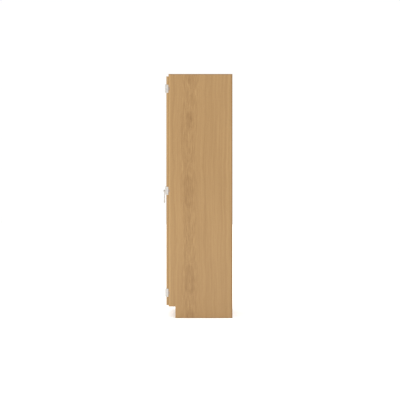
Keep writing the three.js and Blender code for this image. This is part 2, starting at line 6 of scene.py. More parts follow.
import bmesh
import bpy
import numpy as np
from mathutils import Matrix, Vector
from mathutils.geometry import tessellate_polygon


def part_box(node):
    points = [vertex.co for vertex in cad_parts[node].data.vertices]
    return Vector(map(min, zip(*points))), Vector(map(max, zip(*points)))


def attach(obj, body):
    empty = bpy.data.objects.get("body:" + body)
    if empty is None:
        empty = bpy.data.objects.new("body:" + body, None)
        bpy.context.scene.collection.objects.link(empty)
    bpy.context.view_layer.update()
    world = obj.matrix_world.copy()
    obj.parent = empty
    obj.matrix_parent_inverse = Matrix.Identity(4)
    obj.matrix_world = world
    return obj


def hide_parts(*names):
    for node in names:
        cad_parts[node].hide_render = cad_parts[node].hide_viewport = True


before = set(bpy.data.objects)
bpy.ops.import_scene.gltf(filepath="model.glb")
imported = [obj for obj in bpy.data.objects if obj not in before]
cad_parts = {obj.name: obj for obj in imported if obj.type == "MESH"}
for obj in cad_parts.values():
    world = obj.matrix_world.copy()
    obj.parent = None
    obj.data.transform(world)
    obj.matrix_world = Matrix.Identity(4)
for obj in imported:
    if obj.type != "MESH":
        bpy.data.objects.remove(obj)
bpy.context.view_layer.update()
MM = 0.001


# ---- Camera -------------------------------------------------------------------------------------
# It stands level and square to the right side panel, far off, so the near side hides the rest of
# the carcass. Its aim is a little in front of the panel's middle and just below half height.
CAMERA_DISTANCE = 10.5
CAMERA_VIEW_WIDTH = 3.494  # what the frame takes in at the side panel
CAMERA_FROM_BACK = 0.2835
CAMERA_HEIGHT = 1.0327

side_low, side_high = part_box("right_side_panel")
camera = bpy.data.cameras.new("camera")
camera.lens = camera.sensor_width * CAMERA_DISTANCE / CAMERA_VIEW_WIDTH
camera_object = bpy.data.objects.new("camera", camera)
camera_object.location = (
    side_high.x + CAMERA_DISTANCE,
    side_high.y - CAMERA_FROM_BACK,
    CAMERA_HEIGHT,
)
camera_object.rotation_euler = (np.pi / 2, 0, np.pi / 2)
bpy.context.scene.collection.objects.link(camera_object)
bpy.context.scene.camera = camera_object


# ---- Side panels --------------------------------------------------------------------------------
# Veneered plywood, 18.3 mm thick. The front corner is notched at the foot for the toe kick, the
# inner face is grooved for the back panel and bored with two rows of shelf pin holes. The front
# edge and the notch carry an oak edge band; the top, foot and rear edges show the bare plies.
class Blank:
    """The points and faces of one piece while it is being made."""

    def __init__(self):
        self.points = []
        self.faces = []
        self.finishes = []
        self.smooth = []

    def add(self, points, faces, finish=0, smooth=False):
        """Adds points and the faces between them. finish and smooth are one for all or for each."""
        first = sum(len(part) for part in self.points)
        self.points.append(np.asarray(points, float).reshape(-1, 3))
        self.faces += [[first + corner for corner in face] for face in faces]
        self.finishes += np.broadcast_to(finish, len(faces)).tolist()
        self.smooth += np.broadcast_to(smooth, len(faces)).tolist()

    def piece(self, name, body, slot, replaced, *materials):
        """Makes the mesh, closes its seams, turns its faces outwards and hangs it on its body."""
        mesh = bpy.data.meshes.new(name)
        mesh.from_pydata(np.vstack(self.points).tolist(), [], self.faces)
        mesh.polygons.foreach_set("material_index", self.finishes)
        mesh.polygons.foreach_set("use_smooth", self.smooth)
        for material in materials:
            mesh.materials.append(material)
        work = bmesh.new()
        work.from_mesh(mesh)
        bmesh.ops.remove_doubles(work, verts=work.verts, dist=1e-6)
        bmesh.ops.recalc_face_normals(work, faces=work.faces)
        work.to_mesh(mesh)
        work.free()
        mesh.set_sharp_from_angle(angle=np.radians(38))
        made = bpy.data.objects.new(name, mesh)
        bpy.context.scene.collection.objects.link(made)
        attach(made, body)
        if replaced:
            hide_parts(*replaced)
        return made


def drawn_in(outline, distance):
    """The outline with every side moved inwards by distance.

    Each corner moves along the sum of its two sides' inward normals, divided by one plus their dot
    product. A side with no length takes the direction of the one before it.
    """
    after = np.roll(outline, -1, axis=0) - outline
    length = np.hypot(*after.T)
    number = np.where(length > 1e-9, np.arange(len(outline)), -1)
    last_real = np.flatnonzero(length > 1e-9)[-1]
    number = np.maximum.accumulate(number)
    number[number < 0] = last_real
    along = after[number] / length[number, None]
    normal = np.stack([-along[:, 1], along[:, 0]], 1)
    before = np.roll(normal, 1, axis=0)
    dot = (normal * before).sum(1, keepdims=True)
    return outline + distance * (normal + before) / (1 + dot)


def quads(first, rings, count):
    """The four-cornered faces between successive rings of count points, numbered from first."""
    ring, point = np.meshgrid(np.arange(rings - 1), np.arange(count), indexing="ij")
    near, far = ring * count, (ring + 1) * count
    after = (point + 1) % count
    corners = np.stack([near + point, near + after, far + after, far + point], -1)
    return (first + corners.reshape(-1, 4)).tolist()


def fill(loops, starts):
    """Triangles over the first loop and round the others, as numbers counted from each start."""
    number, corners = [], []
    for loop, start in zip(loops, starts):
        real = np.hypot(*(loop - np.roll(loop, 1, axis=0)).T) > 1e-9
        number.append(start + np.flatnonzero(real))
        corners.append([(p, q, 0.0) for p, q in loop[real]])
    number = np.concatenate(number)
    flat = np.array(sum(corners, []))[:, :2]
    triangles = np.array(tessellate_polygon(corners))
    a, b, c = flat[triangles.T]
    turn = (b - a)[:, 0] * (c - a)[:, 1] - (b - a)[:, 1] * (c - a)[:, 0]
    triangles[turn < 0] = triangles[turn < 0][:, ::-1]
    return number[triangles]


def cut_board(blank, axis, layers, holes=(), arris=0.7 * MM, edges=0, face=0, inside=0):
    """A flat piece cut to an outline and carried through its thickness along an axis.

    layers lists (outline, from, to), so the outline may change part of the way through, and its
    points then pair up in order. The arrises at both ends are quarter rounds: a ring drawn in
    by arris * (1 - sin t) stands arris * (1 - cos t) inside its face. A hole is (outline, depth),
    cut straight in from the first layer's face, or (outline, None) right through.
    """
    thickness_axis = "xyz".index(axis)
    flat_axes = [i for i in range(3) if i != thickness_axis]
    way = np.sign(layers[-1][2] - layers[0][1])
    layers = [(np.asarray(outline, float), start, end) for outline, start, end in layers]
    p, q = layers[0][0].T
    edges = np.broadcast_to(edges, len(p))
    if (p * np.roll(q, -1) - q * np.roll(p, -1)).sum() < 0:
        layers = [(outline[::-1], start, end) for outline, start, end in layers]
        edges = np.roll(edges[::-1], -1)
    turns = np.radians([0, 30, 60, 90])

    def rounded_end(outline, at, inwards, turns):
        return [
            (drawn_in(outline, arris * (1 - np.sin(t))), at + inwards * arris * (1 - np.cos(t)))
            for t in turns
        ]

    rings = []
    for outline, start, end in layers:
        first, last = (start, end) == layers[0][1:], (start, end) == layers[-1][1:]
        rings += rounded_end(outline, start, way, turns) if first else [(outline, start)]
        rings += rounded_end(outline, end, -way, turns[::-1]) if last else [(outline, end)]

    def placed(outline, height):
        points = np.empty((len(outline), 3))
        points[:, flat_axes] = outline
        points[:, thickness_axis] = height
        return points

    count = len(rings[0][0])
    points = [placed(*ring) for ring in rings]
    cuts = [(np.asarray(loop, float), depth) for loop, depth in holes]
    start, end = layers[0][1], layers[-1][2]
    total = len(rings) * count
    near_loops, near_starts = [rings[0][0]], [0]
    far_loops, far_starts = [rings[-1][0]], [(len(rings) - 1) * count]
    walls, floors = [], []
    for loop, depth in cuts:
        bottom = end if depth is None else start + way * depth
        points += [placed(loop, start), placed(loop, bottom)]
        near_loops.append(loop)
        near_starts.append(total)
        walls += [corners[::-1] for corners in quads(total, 2, len(loop))]
        if depth is None:
            far_loops.append(loop)
            far_starts.append(total + len(loop))
        else:
            floors.append((total + len(loop) + np.arange(len(loop))).tolist())
        total += 2 * len(loop)
    outer = quads(0, len(rings), count)
    side = np.tile(np.broadcast_to(edges, count), len(rings) - 1)
    rounded = [i for i in range(len(rings) - 1) if i < 3 or i >= len(rings) - 4]
    near = fill(near_loops, near_starts)[:, ::-1].tolist()
    far = fill(far_loops, far_starts).tolist()
    groups = [(near + far, face), (walls + floors, inside), (outer, side)]
    finishes = [np.broadcast_to(finish, len(faces)) for faces, finish in groups]
    soft = np.isin(np.arange(len(outer)) // count, rounded)
    soft = np.concatenate([np.zeros(len(near + far + walls + floors), bool), soft])
    faces = near + far + walls + floors + outer
    blank.add(np.vstack(points), faces, np.concatenate(finishes), soft)


def ring_of(centre, radius, sides=16):
    """Points round a circle: the centre plus the radius times the cosine and the sine."""
    turn = 2 * np.pi * np.arange(sides) / sides
    return np.asarray(centre) + radius * np.stack([np.cos(turn), np.sin(turn)], 1)


def oblong(low, high, radius=0.0, steps=4):
    """The outline of a rectangle whose corners are quarter circles of that radius."""
    low, high = np.asarray(low, float), np.asarray(high, float)
    if radius == 0:
        return np.array([low, (high[0], low[1]), high, (low[0], high[1])])
    turn = np.linspace(0, np.pi / 2, steps + 1)
    arc = radius * np.stack([np.cos(turn), np.sin(turn)], 1)
    corners = [(high[0], high[1]), (low[0], high[1]), (low[0], low[1]), (high[0], low[1])]
    outline = []
    for quarter, corner in enumerate(corners):
        c, s = np.cos(quarter * np.pi / 2), np.sin(quarter * np.pi / 2)
        inwards = np.sign((low + high) / 2 - corner) * radius
        outline.append(corner + inwards + arc @ np.array([[c, s], [-s, c]]))
    return np.vstack(outline)


class Wire:
    """An output socket of a finish's nodes, which sums and products can be made of."""

    def __init__(self, finish, socket):
        self.finish = finish
        self.socket = socket

    def other(self, output):
        return Wire(self.finish, self.socket.node.outputs[output])

    def maths(self, operation, *terms):
        settings = {"operation": operation}
        return self.finish.node("ShaderNodeMath", settings, dict(enumerate(terms)))

    def __add__(self, term):
        return self.maths("ADD", self, term)

    def __sub__(self, term):
        return self.maths("SUBTRACT", self, term)

    def __rsub__(self, term):
        return self.maths("SUBTRACT", term, self)

    def __mul__(self, term):
        return self.maths("MULTIPLY", self, term)

    def __truediv__(self, term):
        return self.maths("DIVIDE", self, term)

    def __pow__(self, term):
        return self.maths("POWER", self, term)

    __radd__ = __add__
    __rmul__ = __mul__

    def fraction(self):
        return self.maths("FRACT", self)

    def root(self):
        return self.maths("SQRT", self)

    def clear_of(self, low, high):
        """0 up to low, 1 from high on, and a smooth step between."""
        settings = {"interpolation_type": "SMOOTHSTEP"}
        inputs = {"Value": self, "From Min": low, "From Max": high}
        return self.finish.node("ShaderNodeMapRange", settings, inputs)


class Finish:
    """A material whose nodes are being put together."""

    def __init__(self, name):
        self.material = bpy.data.materials.new(name)
        self.material.use_nodes = True
        self.tree = self.material.node_tree
        self.tree.nodes.clear()

    def node(self, kind, settings=None, inputs=None, output=0):
        """Adds a node: its settings first, then a value or a wire for each of its sockets."""
        made = self.tree.nodes.new(kind)
        for name, value in (settings or {}).items():
            if name == "stops":
                ramp = made.color_ramp
                while len(ramp.elements) < len(value):
                    ramp.elements.new(0.5)
                for element, (position, colour) in zip(ramp.elements, value):
                    element.position = position
                    element.color = (*colour, 1)
            else:
                setattr(made, name, value)
        for socket, value in (inputs or {}).items():
            if isinstance(value, Wire):
                self.tree.links.new(value.socket, made.inputs[socket])
            else:
                made.inputs[socket].default_value = value
        return Wire(self, made.outputs[output])

    def place(self):
        """The point's x, y and z on the piece, in metres."""
        at = self.node("ShaderNodeTexCoord", output="Object")
        x = self.node("ShaderNodeSeparateXYZ", inputs={0: at})
        return x, x.other(1), x.other(2)

    def noise(self, x, y, z, detail=2.0):
        """Soft random values from 0 to 1, about one swell for each unit of x, y and z."""
        at = self.node("ShaderNodeCombineXYZ", inputs={0: x, 1: y, 2: z})
        inputs = {"Vector": at, "Scale": 1.0, "Detail": detail}
        return self.node("ShaderNodeTexNoise", inputs=inputs)

    def mixed(self, amount, first, second):
        """The first colour where amount is 0 and the second where it is 1."""
        as_colour = [(*c, 1) if isinstance(c, tuple) else c for c in (first, second)]
        inputs = {0: amount, 6: as_colour[0], 7: as_colour[1]}
        return self.node("ShaderNodeMix", {"data_type": "RGBA"}, inputs, output=2)

    def bump(self, height, depth):
        """The normal over a relief: height 0 to 1 stands for that depth in metres."""
        inputs = {"Height": height, "Distance": depth, "Strength": 1.0}
        return self.node("ShaderNodeBump", inputs=inputs)

    def done(self, **sockets):
        """Ends the material in a Principled shader; _ in a socket's name stands for a space."""
        inputs = {name.replace("_", " "): value for name, value in sockets.items()}
        for name, value in inputs.items():
            if isinstance(value, tuple):
                inputs[name] = (*value, 1)
        shader = self.node("ShaderNodeBsdfPrincipled", inputs=inputs)
        end = self.tree.nodes.new("ShaderNodeOutputMaterial")
        self.tree.links.new(shader.socket, end.inputs["Surface"])
        return self.material


OAK_LIGHT = (0.355, 0.214, 0.0805)
OAK_DARK = (0.215, 0.111, 0.0315)
RING_WIDTH = 5.2 * MM


def veneer(name, across, along, heart, depth=0.055, tone=0.0, painted_edge_shading=()):
    """Plain-sliced oak veneer under satin lacquer.

    across and along are axis numbers, and heart is where the leaf's middle lies on the first. The
    slice meets growth rings as arches: the ring at a point is the distance from the pith,
    sqrt(across^2 + depth^2), over the ring's width, and depth wanders along the grain, which
    closes the arches into tall stacked flames. Each ring opens with a dark, porous line and fades;
    whole years run darker or lighter, most of all near the heart; fibres and open pores are
    streaks 80 and 10 mm long. The last argument lists (axis, edge, reach, change): within reach
    of that edge the wood is darker by change, a painted shade, or lighter, a painted highlight.
    """
    finish = Finish(name)
    place = finish.place()
    leaf = place[3 - across - along] * 1.7
    wander = finish.noise(place[across] * 2.0, place[along] * 1.1, leaf) - 0.5
    side = place[across] - heart + wander * 0.07
    rise = finish.noise(3.7, place[along] * 3.6, leaf, 1.5) - 0.5
    slice_depth = rise * 0.15 + place[along] * 0.006 + depth
    ripple = finish.noise(side * 75.0, place[along] * 11.0, leaf, 3.0) - 0.5
    ring = (side * side + slice_depth * slice_depth).root() / RING_WIDTH + ripple * 2.6
    year = ring.fraction()
    early_wood = (1 - year) ** 3.0
    fibres = finish.noise(side * 700.0, place[along] * 12.0, leaf, 3.0) - 0.5
    streaks = finish.noise(side * 110.0, place[along] * 1.6, leaf, 2.0) - 0.5
    dashes = finish.noise(side * 2300.0, place[along] * 100.0, leaf, 1.0)
    pores = dashes.clear_of(0.56, 0.72) * (early_wood * 0.75 + 0.25)
    flecks = finish.noise(side * 130.0, place[along] * 14.0, leaf, 3.0) - 0.5
    seasons = finish.noise(ring * 0.3, 0.37, leaf, 1.0) - 0.5
    clouds = finish.noise(side * 4.0, place[along] * 0.9, leaf, 2.0) - 0.5
    in_heart = 1 - (side * side).clear_of(0.02**2, 0.085**2)
    dark = (
        0.35
        + tone
        + in_heart * 0.06
        + seasons * (in_heart * 0.75 + 0.45)
        + flecks * (in_heart * 1.1 + 0.1)
        + clouds * 0.35
        + streaks * 0.5
        + fibres * 0.42
        + early_wood * 0.16
        + pores * 0.42
    )
    # Painted shade and painted highlight: the wood darkens or lightens near each listed edge.
    for axis, edge, reach, change in painted_edge_shading:
        inwards = place[axis] - edge
        in_painted_edge_shading = 1 - (inwards * inwards).clear_of((0.7 * reach) ** 2, reach**2)
        dark = dark + in_painted_edge_shading * change
    stops = [(0.0, OAK_LIGHT), (0.45, tuple(np.add(OAK_LIGHT, OAK_DARK) / 2)), (1.0, OAK_DARK)]
    colour = finish.node("ShaderNodeValToRGB", {"stops": stops}, {0: dark})
    relief = 0.6 - pores * 0.5 + fibres * 0.3
    return finish.done(
        Base_Color=colour,
        Roughness=0.42 + fibres * 0.12 + pores * 0.15,
        Normal=finish.bump(relief, 0.05 * MM),
        Coat_Weight=0.18,
        Coat_Roughness=0.28,
    )


def edge_band(name, along):
    """A strip of oak along an edge: straight fibres, short pores, and a slow drift in tone."""
    finish = Finish(name)
    place = finish.place()
    others = [i for i in range(3) if i != along]
    first, second = place[others[0]], place[others[1]]
    fibres = finish.noise(first * 500.0, second * 500.0, place[along] * 10.0, 3.0) - 0.5
    dashes = finish.noise(first * 1900.0, second * 1900.0, place[along] * 90.0, 1.0)
    drift = finish.noise(first * 6.0, second * 6.0, place[along] * 1.3) - 0.5
    pores = dashes.clear_of(0.58, 0.74)
    dark = 0.25 + fibres * 0.7 + drift * 0.9 + pores * 0.35
    return finish.done(
        Base_Color=finish.mixed(dark.clear_of(0.0, 1.0), OAK_LIGHT, OAK_DARK),
        Roughness=0.45 + pores * 0.2,
        Normal=finish.bump(0.5 - pores * 0.5, 0.04 * MM),
        Coat_Weight=0.15,
        Coat_Roughness=0.3,
    )


PLY = 1.41 * MM


def bare_plies(name, across, start):
    """The sawn edge of plywood: thin plies in turn pale side grain and browner end grain.

    A point's ply is its distance through the board over the ply's thickness, and every second one
    is end grain. Glue lines are dark, and small voids and saw marks roughen the edge.
    """
    finish = Finish(name)
    place = finish.place()
    others = [i for i in range(3) if i != across]
    first, second = place[others[0]], place[others[1]]
    waver = finish.noise(first * 9.0, second * 9.0, 0.0) - 0.5
    ply = (place[across] - start) / PLY + waver * 0.25
    in_ply = ply.fraction()
    end_grain = (ply * 0.5).fraction().clear_of(0.49, 0.51)
    glue = 1 - in_ply.clear_of(0.0, 0.09) * (1 - in_ply.clear_of(0.91, 1.0))
    grit = finish.noise(first * 600.0, second * 600.0, ply * 2.0, 3.0) - 0.5
    saw = finish.noise(first * 60.0, second * 60.0, ply * 0.3, 2.0) - 0.5
    wood = finish.mixed(end_grain, (0.56, 0.40, 0.24), (0.37, 0.235, 0.125))
    worn = finish.mixed((grit * 0.9 + saw * 0.5 + 0.3).clear_of(0.0, 1.0), wood, (0.25, 0.15, 0.08))
    return finish.done(
        Base_Color=finish.mixed(glue * 0.6, worn, (0.16, 0.09, 0.045)),
        Roughness=0.72 + grit * 0.2,
        Normal=finish.bump(0.5 + grit * 0.6 - glue * 0.3, 0.12 * MM),
    )


FRONT_EDGE_Y = side_low.y
REAR_EDGE_Y = side_high.y
CABINET_TOP_Z = side_high.z
back_low, back_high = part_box("back_panel")
toe_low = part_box("toe_kick_board")[0]
floor_low, floor_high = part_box("bottom_panel")
TOE_NOTCH_Y = toe_low.y - 1 * MM
TOE_NOTCH_Z = floor_low.z
GROOVE_DEPTH = 8 * MM
GROOVE_PLAY = 0.3 * MM
PIN_HOLE_RADIUS = 2.8 * MM
PIN_HOLE_DEPTH = 10 * MM
PIN_HOLE_PITCH = 64 * MM
PIN_HOLES_IN_ROW = 10
PIN_HOLE_FIRST = 180 * MM  # above the board that starts the row
PIN_ROWS_Y = (FRONT_EDGE_Y + 82 * MM, back_low.y - 60 * MM)
# How far the painted highlight along a side panel's front edge reaches.
PAINTED_HIGHLIGHT_REACH = 18 * MM
FLAME_FROM_FRONT = 0.335  # the flames' place across a side panel, from its front edge

oak_upright = {
    side: veneer(
        f"oak_{side}_side",
        across=1,
        along=2,
        heart=FRONT_EDGE_Y + FLAME_FROM_FRONT * (REAR_EDGE_Y - FRONT_EDGE_Y),
        # Painted shade in bands along the rear edge, the top and the foot, and a painted highlight
        # along the front edge.
        painted_edge_shading=(
            (1, REAR_EDGE_Y, 12 * MM, 0.7),
            (2, CABINET_TOP_Z, 9 * MM, 0.6),
            (2, 0, 9 * MM, 0.4),
            (1, FRONT_EDGE_Y, PAINTED_HIGHLIGHT_REACH, -0.3),
        ),
    )
    for side in ("left", "right")
}
oak_band_upright = edge_band("oak_edge_band_upright", along=2)
plies_across_side = bare_plies("bare_plies_of_side", across=0, start=side_low.x)

shelf_floor_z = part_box("fixed_middle_shelf")[1].z
hole_z = np.concatenate(
    [
        start + PIN_HOLE_FIRST + PIN_HOLE_PITCH * np.arange(PIN_HOLES_IN_ROW)
        for start in (floor_high.z, shelf_floor_z)
    ]
)
pin_holes = [(ring_of((y, z), PIN_HOLE_RADIUS), PIN_HOLE_DEPTH) for y in PIN_ROWS_Y for z in hole_z]
groove_y = (back_low.y - GROOVE_PLAY, back_high.y + GROOVE_PLAY)


def side_outline(groove_foot_z):
    """A side panel's outline in y and z, with a slot down from its top edge to groove_foot_z."""
    return [
        (REAR_EDGE_Y, CABINET_TOP_Z),
        (groove_y[1], CABINET_TOP_Z),
        (groove_y[1], groove_foot_z),
        (groove_y[0], groove_foot_z),
        (groove_y[0], CABINET_TOP_Z),
        (FRONT_EDGE_Y, CABINET_TOP_Z),
        (FRONT_EDGE_Y, TOE_NOTCH_Z),
        (TOE_NOTCH_Y, TOE_NOTCH_Z),
        (TOE_NOTCH_Y, 0),
        (REAR_EDGE_Y, 0),
    ]


BAND, BARE = 1, 2  # finish numbers on a board's edges; 0 is the face veneer
side_edges = np.array([BARE, BARE, BARE, BARE, BARE, BAND, BAND, BAND, BARE, BARE])
for side, way in (("left", -1), ("right", 1)):
    inner_x = way * side_low.x
    groove_x = inner_x + way * GROOVE_DEPTH
    outer_x = way * side_high.x
    panel = Blank()
    cut_board(
        panel,
        "x",
        [
            (side_outline(TOE_NOTCH_Z), inner_x, groove_x),
            (side_outline(CABINET_TOP_Z), groove_x, outer_x),
        ],
        holes=pin_holes,
        edges=side_edges,
        inside=BARE,
    )
    panel.piece(
        f"side_panel_{side}",
        "carcass",
        "oak_veneer",
        [f"{side}_side_panel"],
        oak_upright[side],
        oak_band_upright,
        plies_across_side,
    )


# ---- Top and bottom panels ----------------------------------------------------------------------
# Plywood an inch thick between the sides, banded with oak in front. Each is mortised just behind
# its front edge for the latch rod of the right door and the slide bolt of the left one.
ROD_HALF = 6 * MM  # half the width of a latch rod
BOLT_HALF = 5 * MM  # half the width of a slide bolt
ROD_ROOM = 1.2 * MM  # round a rod or bolt that enters a mortise
MORTISE_DEPTH = 17.2 * MM
bar_low, bar_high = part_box("upper_latch_rod")  # rods and bolts all lie in its plane


def box_outline(node, first, second):
    """The four corners of a node's box along two of its axes, and its lowest and highest corner."""
    low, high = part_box(node)
    return oblong((low[first], low[second]), (high[first], high[second])), low, high


def bar_mortise(node):
    """A round-ended slot in x and y that lets the flat bar of that node through."""
    low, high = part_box(node)
    middle = (low.x + high.x) / 2
    half = (ROD_HALF if "rod" in node else BOLT_HALF) + ROD_ROOM
    return oblong(
        (middle - half, bar_low.y - ROD_ROOM),
        (middle + half, bar_high.y + ROD_ROOM),
        radius=3 * MM,
    )


oak_level = veneer("oak_level_boards", across=1, along=0, heart=0.02, depth=0.05)
oak_band_level = edge_band("oak_edge_band_level", along=0)
plies_across_level = bare_plies("bare_plies_of_level_board", across=2, start=floor_low.z)
FRONT_BANDED = np.array([BAND, BARE, BARE, BARE])
level_finishes = (oak_level, oak_band_level, plies_across_level)

for node, bars, start in (
    ("top_panel", ("upper_latch_rod", "top_slide_bolt"), "low"),
    ("bottom_panel", ("lower_latch_rod", "bottom_slide_bolt"), "high"),
):
    outline, low, high = box_outline(node, 0, 1)
    heights = (low.z, high.z) if start == "low" else (high.z, low.z)
    panel = Blank()
    cut_board(
        panel,
        "z",
        [(outline, *heights)],
        holes=[(bar_mortise(bar), MORTISE_DEPTH) for bar in bars],
        edges=FRONT_BANDED,
        inside=BARE,
    )
    panel.piece(f"{node}_board", "carcass", "oak_veneer", [node], *level_finishes)


# ---- Toe kick, base rail and hanging rails ------------------------------------------------------
# Plain plywood boards on edge between the sides. The toe kick closes the foot under the doors, the
# base rail the foot at the back, and wall screws go through the hanging rails.
oak_on_edge = veneer("oak_rails", across=2, along=0, heart=0.03, depth=0.04, tone=0.04)
plies_across_rail = bare_plies("bare_plies_of_rail", across=1, start=toe_low.y)
for node in ("toe_kick_board", "rear_base_rail", "bottom_hanging_rail", "top_hanging_rail"):
    outline, low, high = box_outline(node, 0, 2)
    rail = Blank()
    cut_board(rail, "y", [(outline, low.y, high.y)], edges=1)
    rail.piece(f"{node}_face", "carcass", "oak_veneer", [node], oak_on_edge, plies_across_rail)


# ---- Back panel ---------------------------------------------------------------------------------
# Quarter-inch oak plywood with its grain upright and its edges bare. It slides down from above
# into the grooves of the side panels.
oak_back = veneer("oak_back_panel", across=0, along=2, heart=-0.12, depth=0.07, tone=-0.05)
plies_across_back = bare_plies("bare_plies_of_back", across=1, start=back_low.y)
outline, low, high = box_outline("back_panel", 0, 2)
back = Blank()
cut_board(back, "y", [(outline, low.y, high.y)], arris=0.3 * MM, edges=1)
back.piece(
    "back_board", "carcass", "oak_back_panel", ["back_panel"], oak_back, plies_across_back
)


# ---- Shelves ------------------------------------------------------------------------------------
# One inch thick, veneered on both faces and banded in front. The middle one is fixed; the others
# lie on four supports each.
for node in (
    "fixed_middle_shelf",
    "adjustable_shelf_lower",
    "adjustable_shelf_middle",
    "adjustable_shelf_upper",
):
    outline, low, high = box_outline(node, 0, 1)
    shelf = Blank()
    cut_board(shelf, "z", [(outline, low.z, high.z)], arris=1.2 * MM, edges=FRONT_BANDED)
    shelf.piece(f"{node}_board", "carcass", "oak_veneer", [node], *level_finishes)


# ---- Shelf supports -----------------------------------------------------------------------------
# Nickel-plated steel. A strip is folded into a back plate and a ledge, and riveted to a pin that
# plugs into the side panel.
def turned(blank, profile, centre, axis, sides=40, ribs=0, rib_depth=0.0, closed=False, finish=0):
    """A turned shell: each (radius, length) of the profile carried round the axis.

    A point at angle t stands radius * (1 - rib_depth * (1 - cos(ribs * t)) / 2) from the axis.
    An open profile starts and ends on the axis; a closed one makes a ring.
    """
    profile = np.asarray(profile, float)
    turn = 2 * np.pi * np.arange(sides) / sides
    radius = profile[:, :1] * (1 - rib_depth * (1 - np.cos(ribs * turn)) / 2)
    axis = "xyz".index(axis)
    flat = [i for i in range(3) if i != axis]
    points = np.zeros((len(profile), sides, 3)) + np.asarray(centre, float)
    points[..., flat[0]] += radius * np.cos(turn)
    points[..., flat[1]] += radius * np.sin(turn)
    points[..., axis] += profile[:, 1:]
    if closed:
        points = np.concatenate([points, points[:1]])
    blank.add(points, quads(0, len(points), sides), finish, smooth=True)


def plated(name, colour, roughness, brushed=None, depth=0.008 * MM):
    """Plated metal: a mirror clouded by faint hairlines along one axis, and by handling.

    The roughness rises where a slow noise, the smudges, is high, and the hairlines are a noise
    drawn out forty times along the brushed axis, if there is one.
    """
    finish = Finish(name)
    place = finish.place()
    stretch = [60.0 if i == brushed else 2400.0 for i in range(3)]
    scaled = [place[i] * stretch[i] for i in range(3)]
    hairlines = finish.noise(*scaled, 2.0) - 0.5
    smudges = finish.noise(*[place[i] * 90.0 for i in range(3)], 3.0) - 0.5
    tarnish = smudges * 0.8 + hairlines * 0.3 + 0.4
    darker = tuple(0.82 * part for part in colour)
    return finish.done(
        Base_Color=finish.mixed(tarnish.clear_of(0, 1), colour, darker),
        Metallic=1.0,
        Roughness=roughness + smudges * 0.16 + hairlines * 0.06,
        Normal=finish.bump(0.5 + hairlines * 0.6, depth),
    )


nickel = plated("satin_nickel", (0.63, 0.61, 0.57), 0.3, brushed=1)
SUPPORT_SHEET = 1.6 * MM
SUPPORT_PIN_RADIUS = 2.5 * MM
for level in ("lower", "middle", "upper"):
    for side, way in (("left", -1), ("right", 1)):
        for end in ("front", "rear"):
            node = f"shelf_support_{level}_{side}_{end}"
            low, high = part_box(node)
            middle_y = (low.y + high.y) / 2
            pin_tip, ledge_tip = (high.x, low.x) if way > 0 else (low.x, high.x)
            wall_x = way * (side_low.x - 0.3 * MM)
            pin_z = high.z - 4 * MM
            support = Blank()
            inner_x = wall_x - way * SUPPORT_SHEET
            bracket = [
                (wall_x, low.z),
                (wall_x, high.z - 1.2 * MM),
                (wall_x - way * 0.35 * MM, high.z - 0.35 * MM),
                (wall_x - way * 1.2 * MM, high.z),
                (ledge_tip, high.z),
                (ledge_tip, high.z - SUPPORT_SHEET),
                (inner_x - way * 1.0 * MM, high.z - SUPPORT_SHEET),
                (inner_x - way * 0.3 * MM, high.z - SUPPORT_SHEET - 0.3 * MM),
                (inner_x, high.z - SUPPORT_SHEET - 1.0 * MM),
                (inner_x, low.z),
            ]
            cut_board(support, "y", [(bracket, low.y, high.y)], arris=0.3 * MM)
            r = SUPPORT_PIN_RADIUS
            pin = [
                (0, 0),
                (r - 0.7 * MM, 0),
                (r, -0.7 * MM),
                (r, -(abs(pin_tip - wall_x) - 0.1 * MM)),
                (r + 1.2 * MM, -(abs(pin_tip - wall_x) + SUPPORT_SHEET)),
                (r + 0.6 * MM, -(abs(pin_tip - wall_x) + SUPPORT_SHEET + 0.7 * MM)),
                (0, -(abs(pin_tip - wall_x) + SUPPORT_SHEET + 0.9 * MM)),
            ]
            pin = [(radius, way * length) for radius, length in pin]
            turned(support, pin, (pin_tip, middle_y, pin_z), "x", sides=20)
            support.piece(f"{node}_clip", "carcass", "nickel_plate", [node], nickel)


# ---- Screws -------------------------------------------------------------------------------------
# Countersunk cross-head screws of plated steel, driven flush with the fitting that they hold. All
# those of one fitting make one piece.
SCREW_TURNS = (0.3, 1.1, 0.7, 1.5)  # how far round each head in turn is driven, in radians


def screws(name, body, slot, places, axis, way, radius=3.6 * MM):
    """A fitting's screw heads, flush at the given places and facing along the axis.

    A head's height is a low dome, 0.2 R * (1 - (r / R)^2), pressed in by 0.45 R wherever the point
    is within 0.16 R of a cross line and inside 0.62 R. A cone closes it under the surface.
    """
    radii = np.array([0, 0.16, 0.3, 0.45, 0.6, 0.66, 1.0]) * radius
    around = 2 * np.pi * np.arange(24) / 24
    r, t = np.meshgrid(radii, around, indexing="ij")
    across = np.minimum(np.abs(r * np.cos(t)), np.abs(r * np.sin(t)))
    pressed = (across < 0.16 * radius) & (r < 0.62 * radius)
    height = 0.2 * radius * (1 - (r / radius) ** 2) - 0.45 * radius * pressed
    r = np.vstack([r, np.full((1, 24), 0.45 * radius), np.zeros((1, 24))])
    t = np.vstack([t, t[:2]])
    height = np.vstack([height, np.full((2, 24), -0.5 * radius)])
    axis = "xyz".index(axis)
    flat = [i for i in range(3) if i != axis]
    heads = Blank()
    for number, place in enumerate(np.atleast_2d(places)):
        angle = t + SCREW_TURNS[number % len(SCREW_TURNS)]
        points = np.zeros(r.shape + (3,)) + place
        points[..., flat[0]] += r * np.cos(angle)
        points[..., flat[1]] += r * np.sin(angle)
        points[..., axis] += way * height
        heads.add(points, quads(0, len(r), 24), 0, smooth=True)
    heads.piece(name, body, slot, [], screw_steel)


screw_steel = plated("screw_steel", (0.36, 0.355, 0.34), 0.33, depth=0.01 * MM)


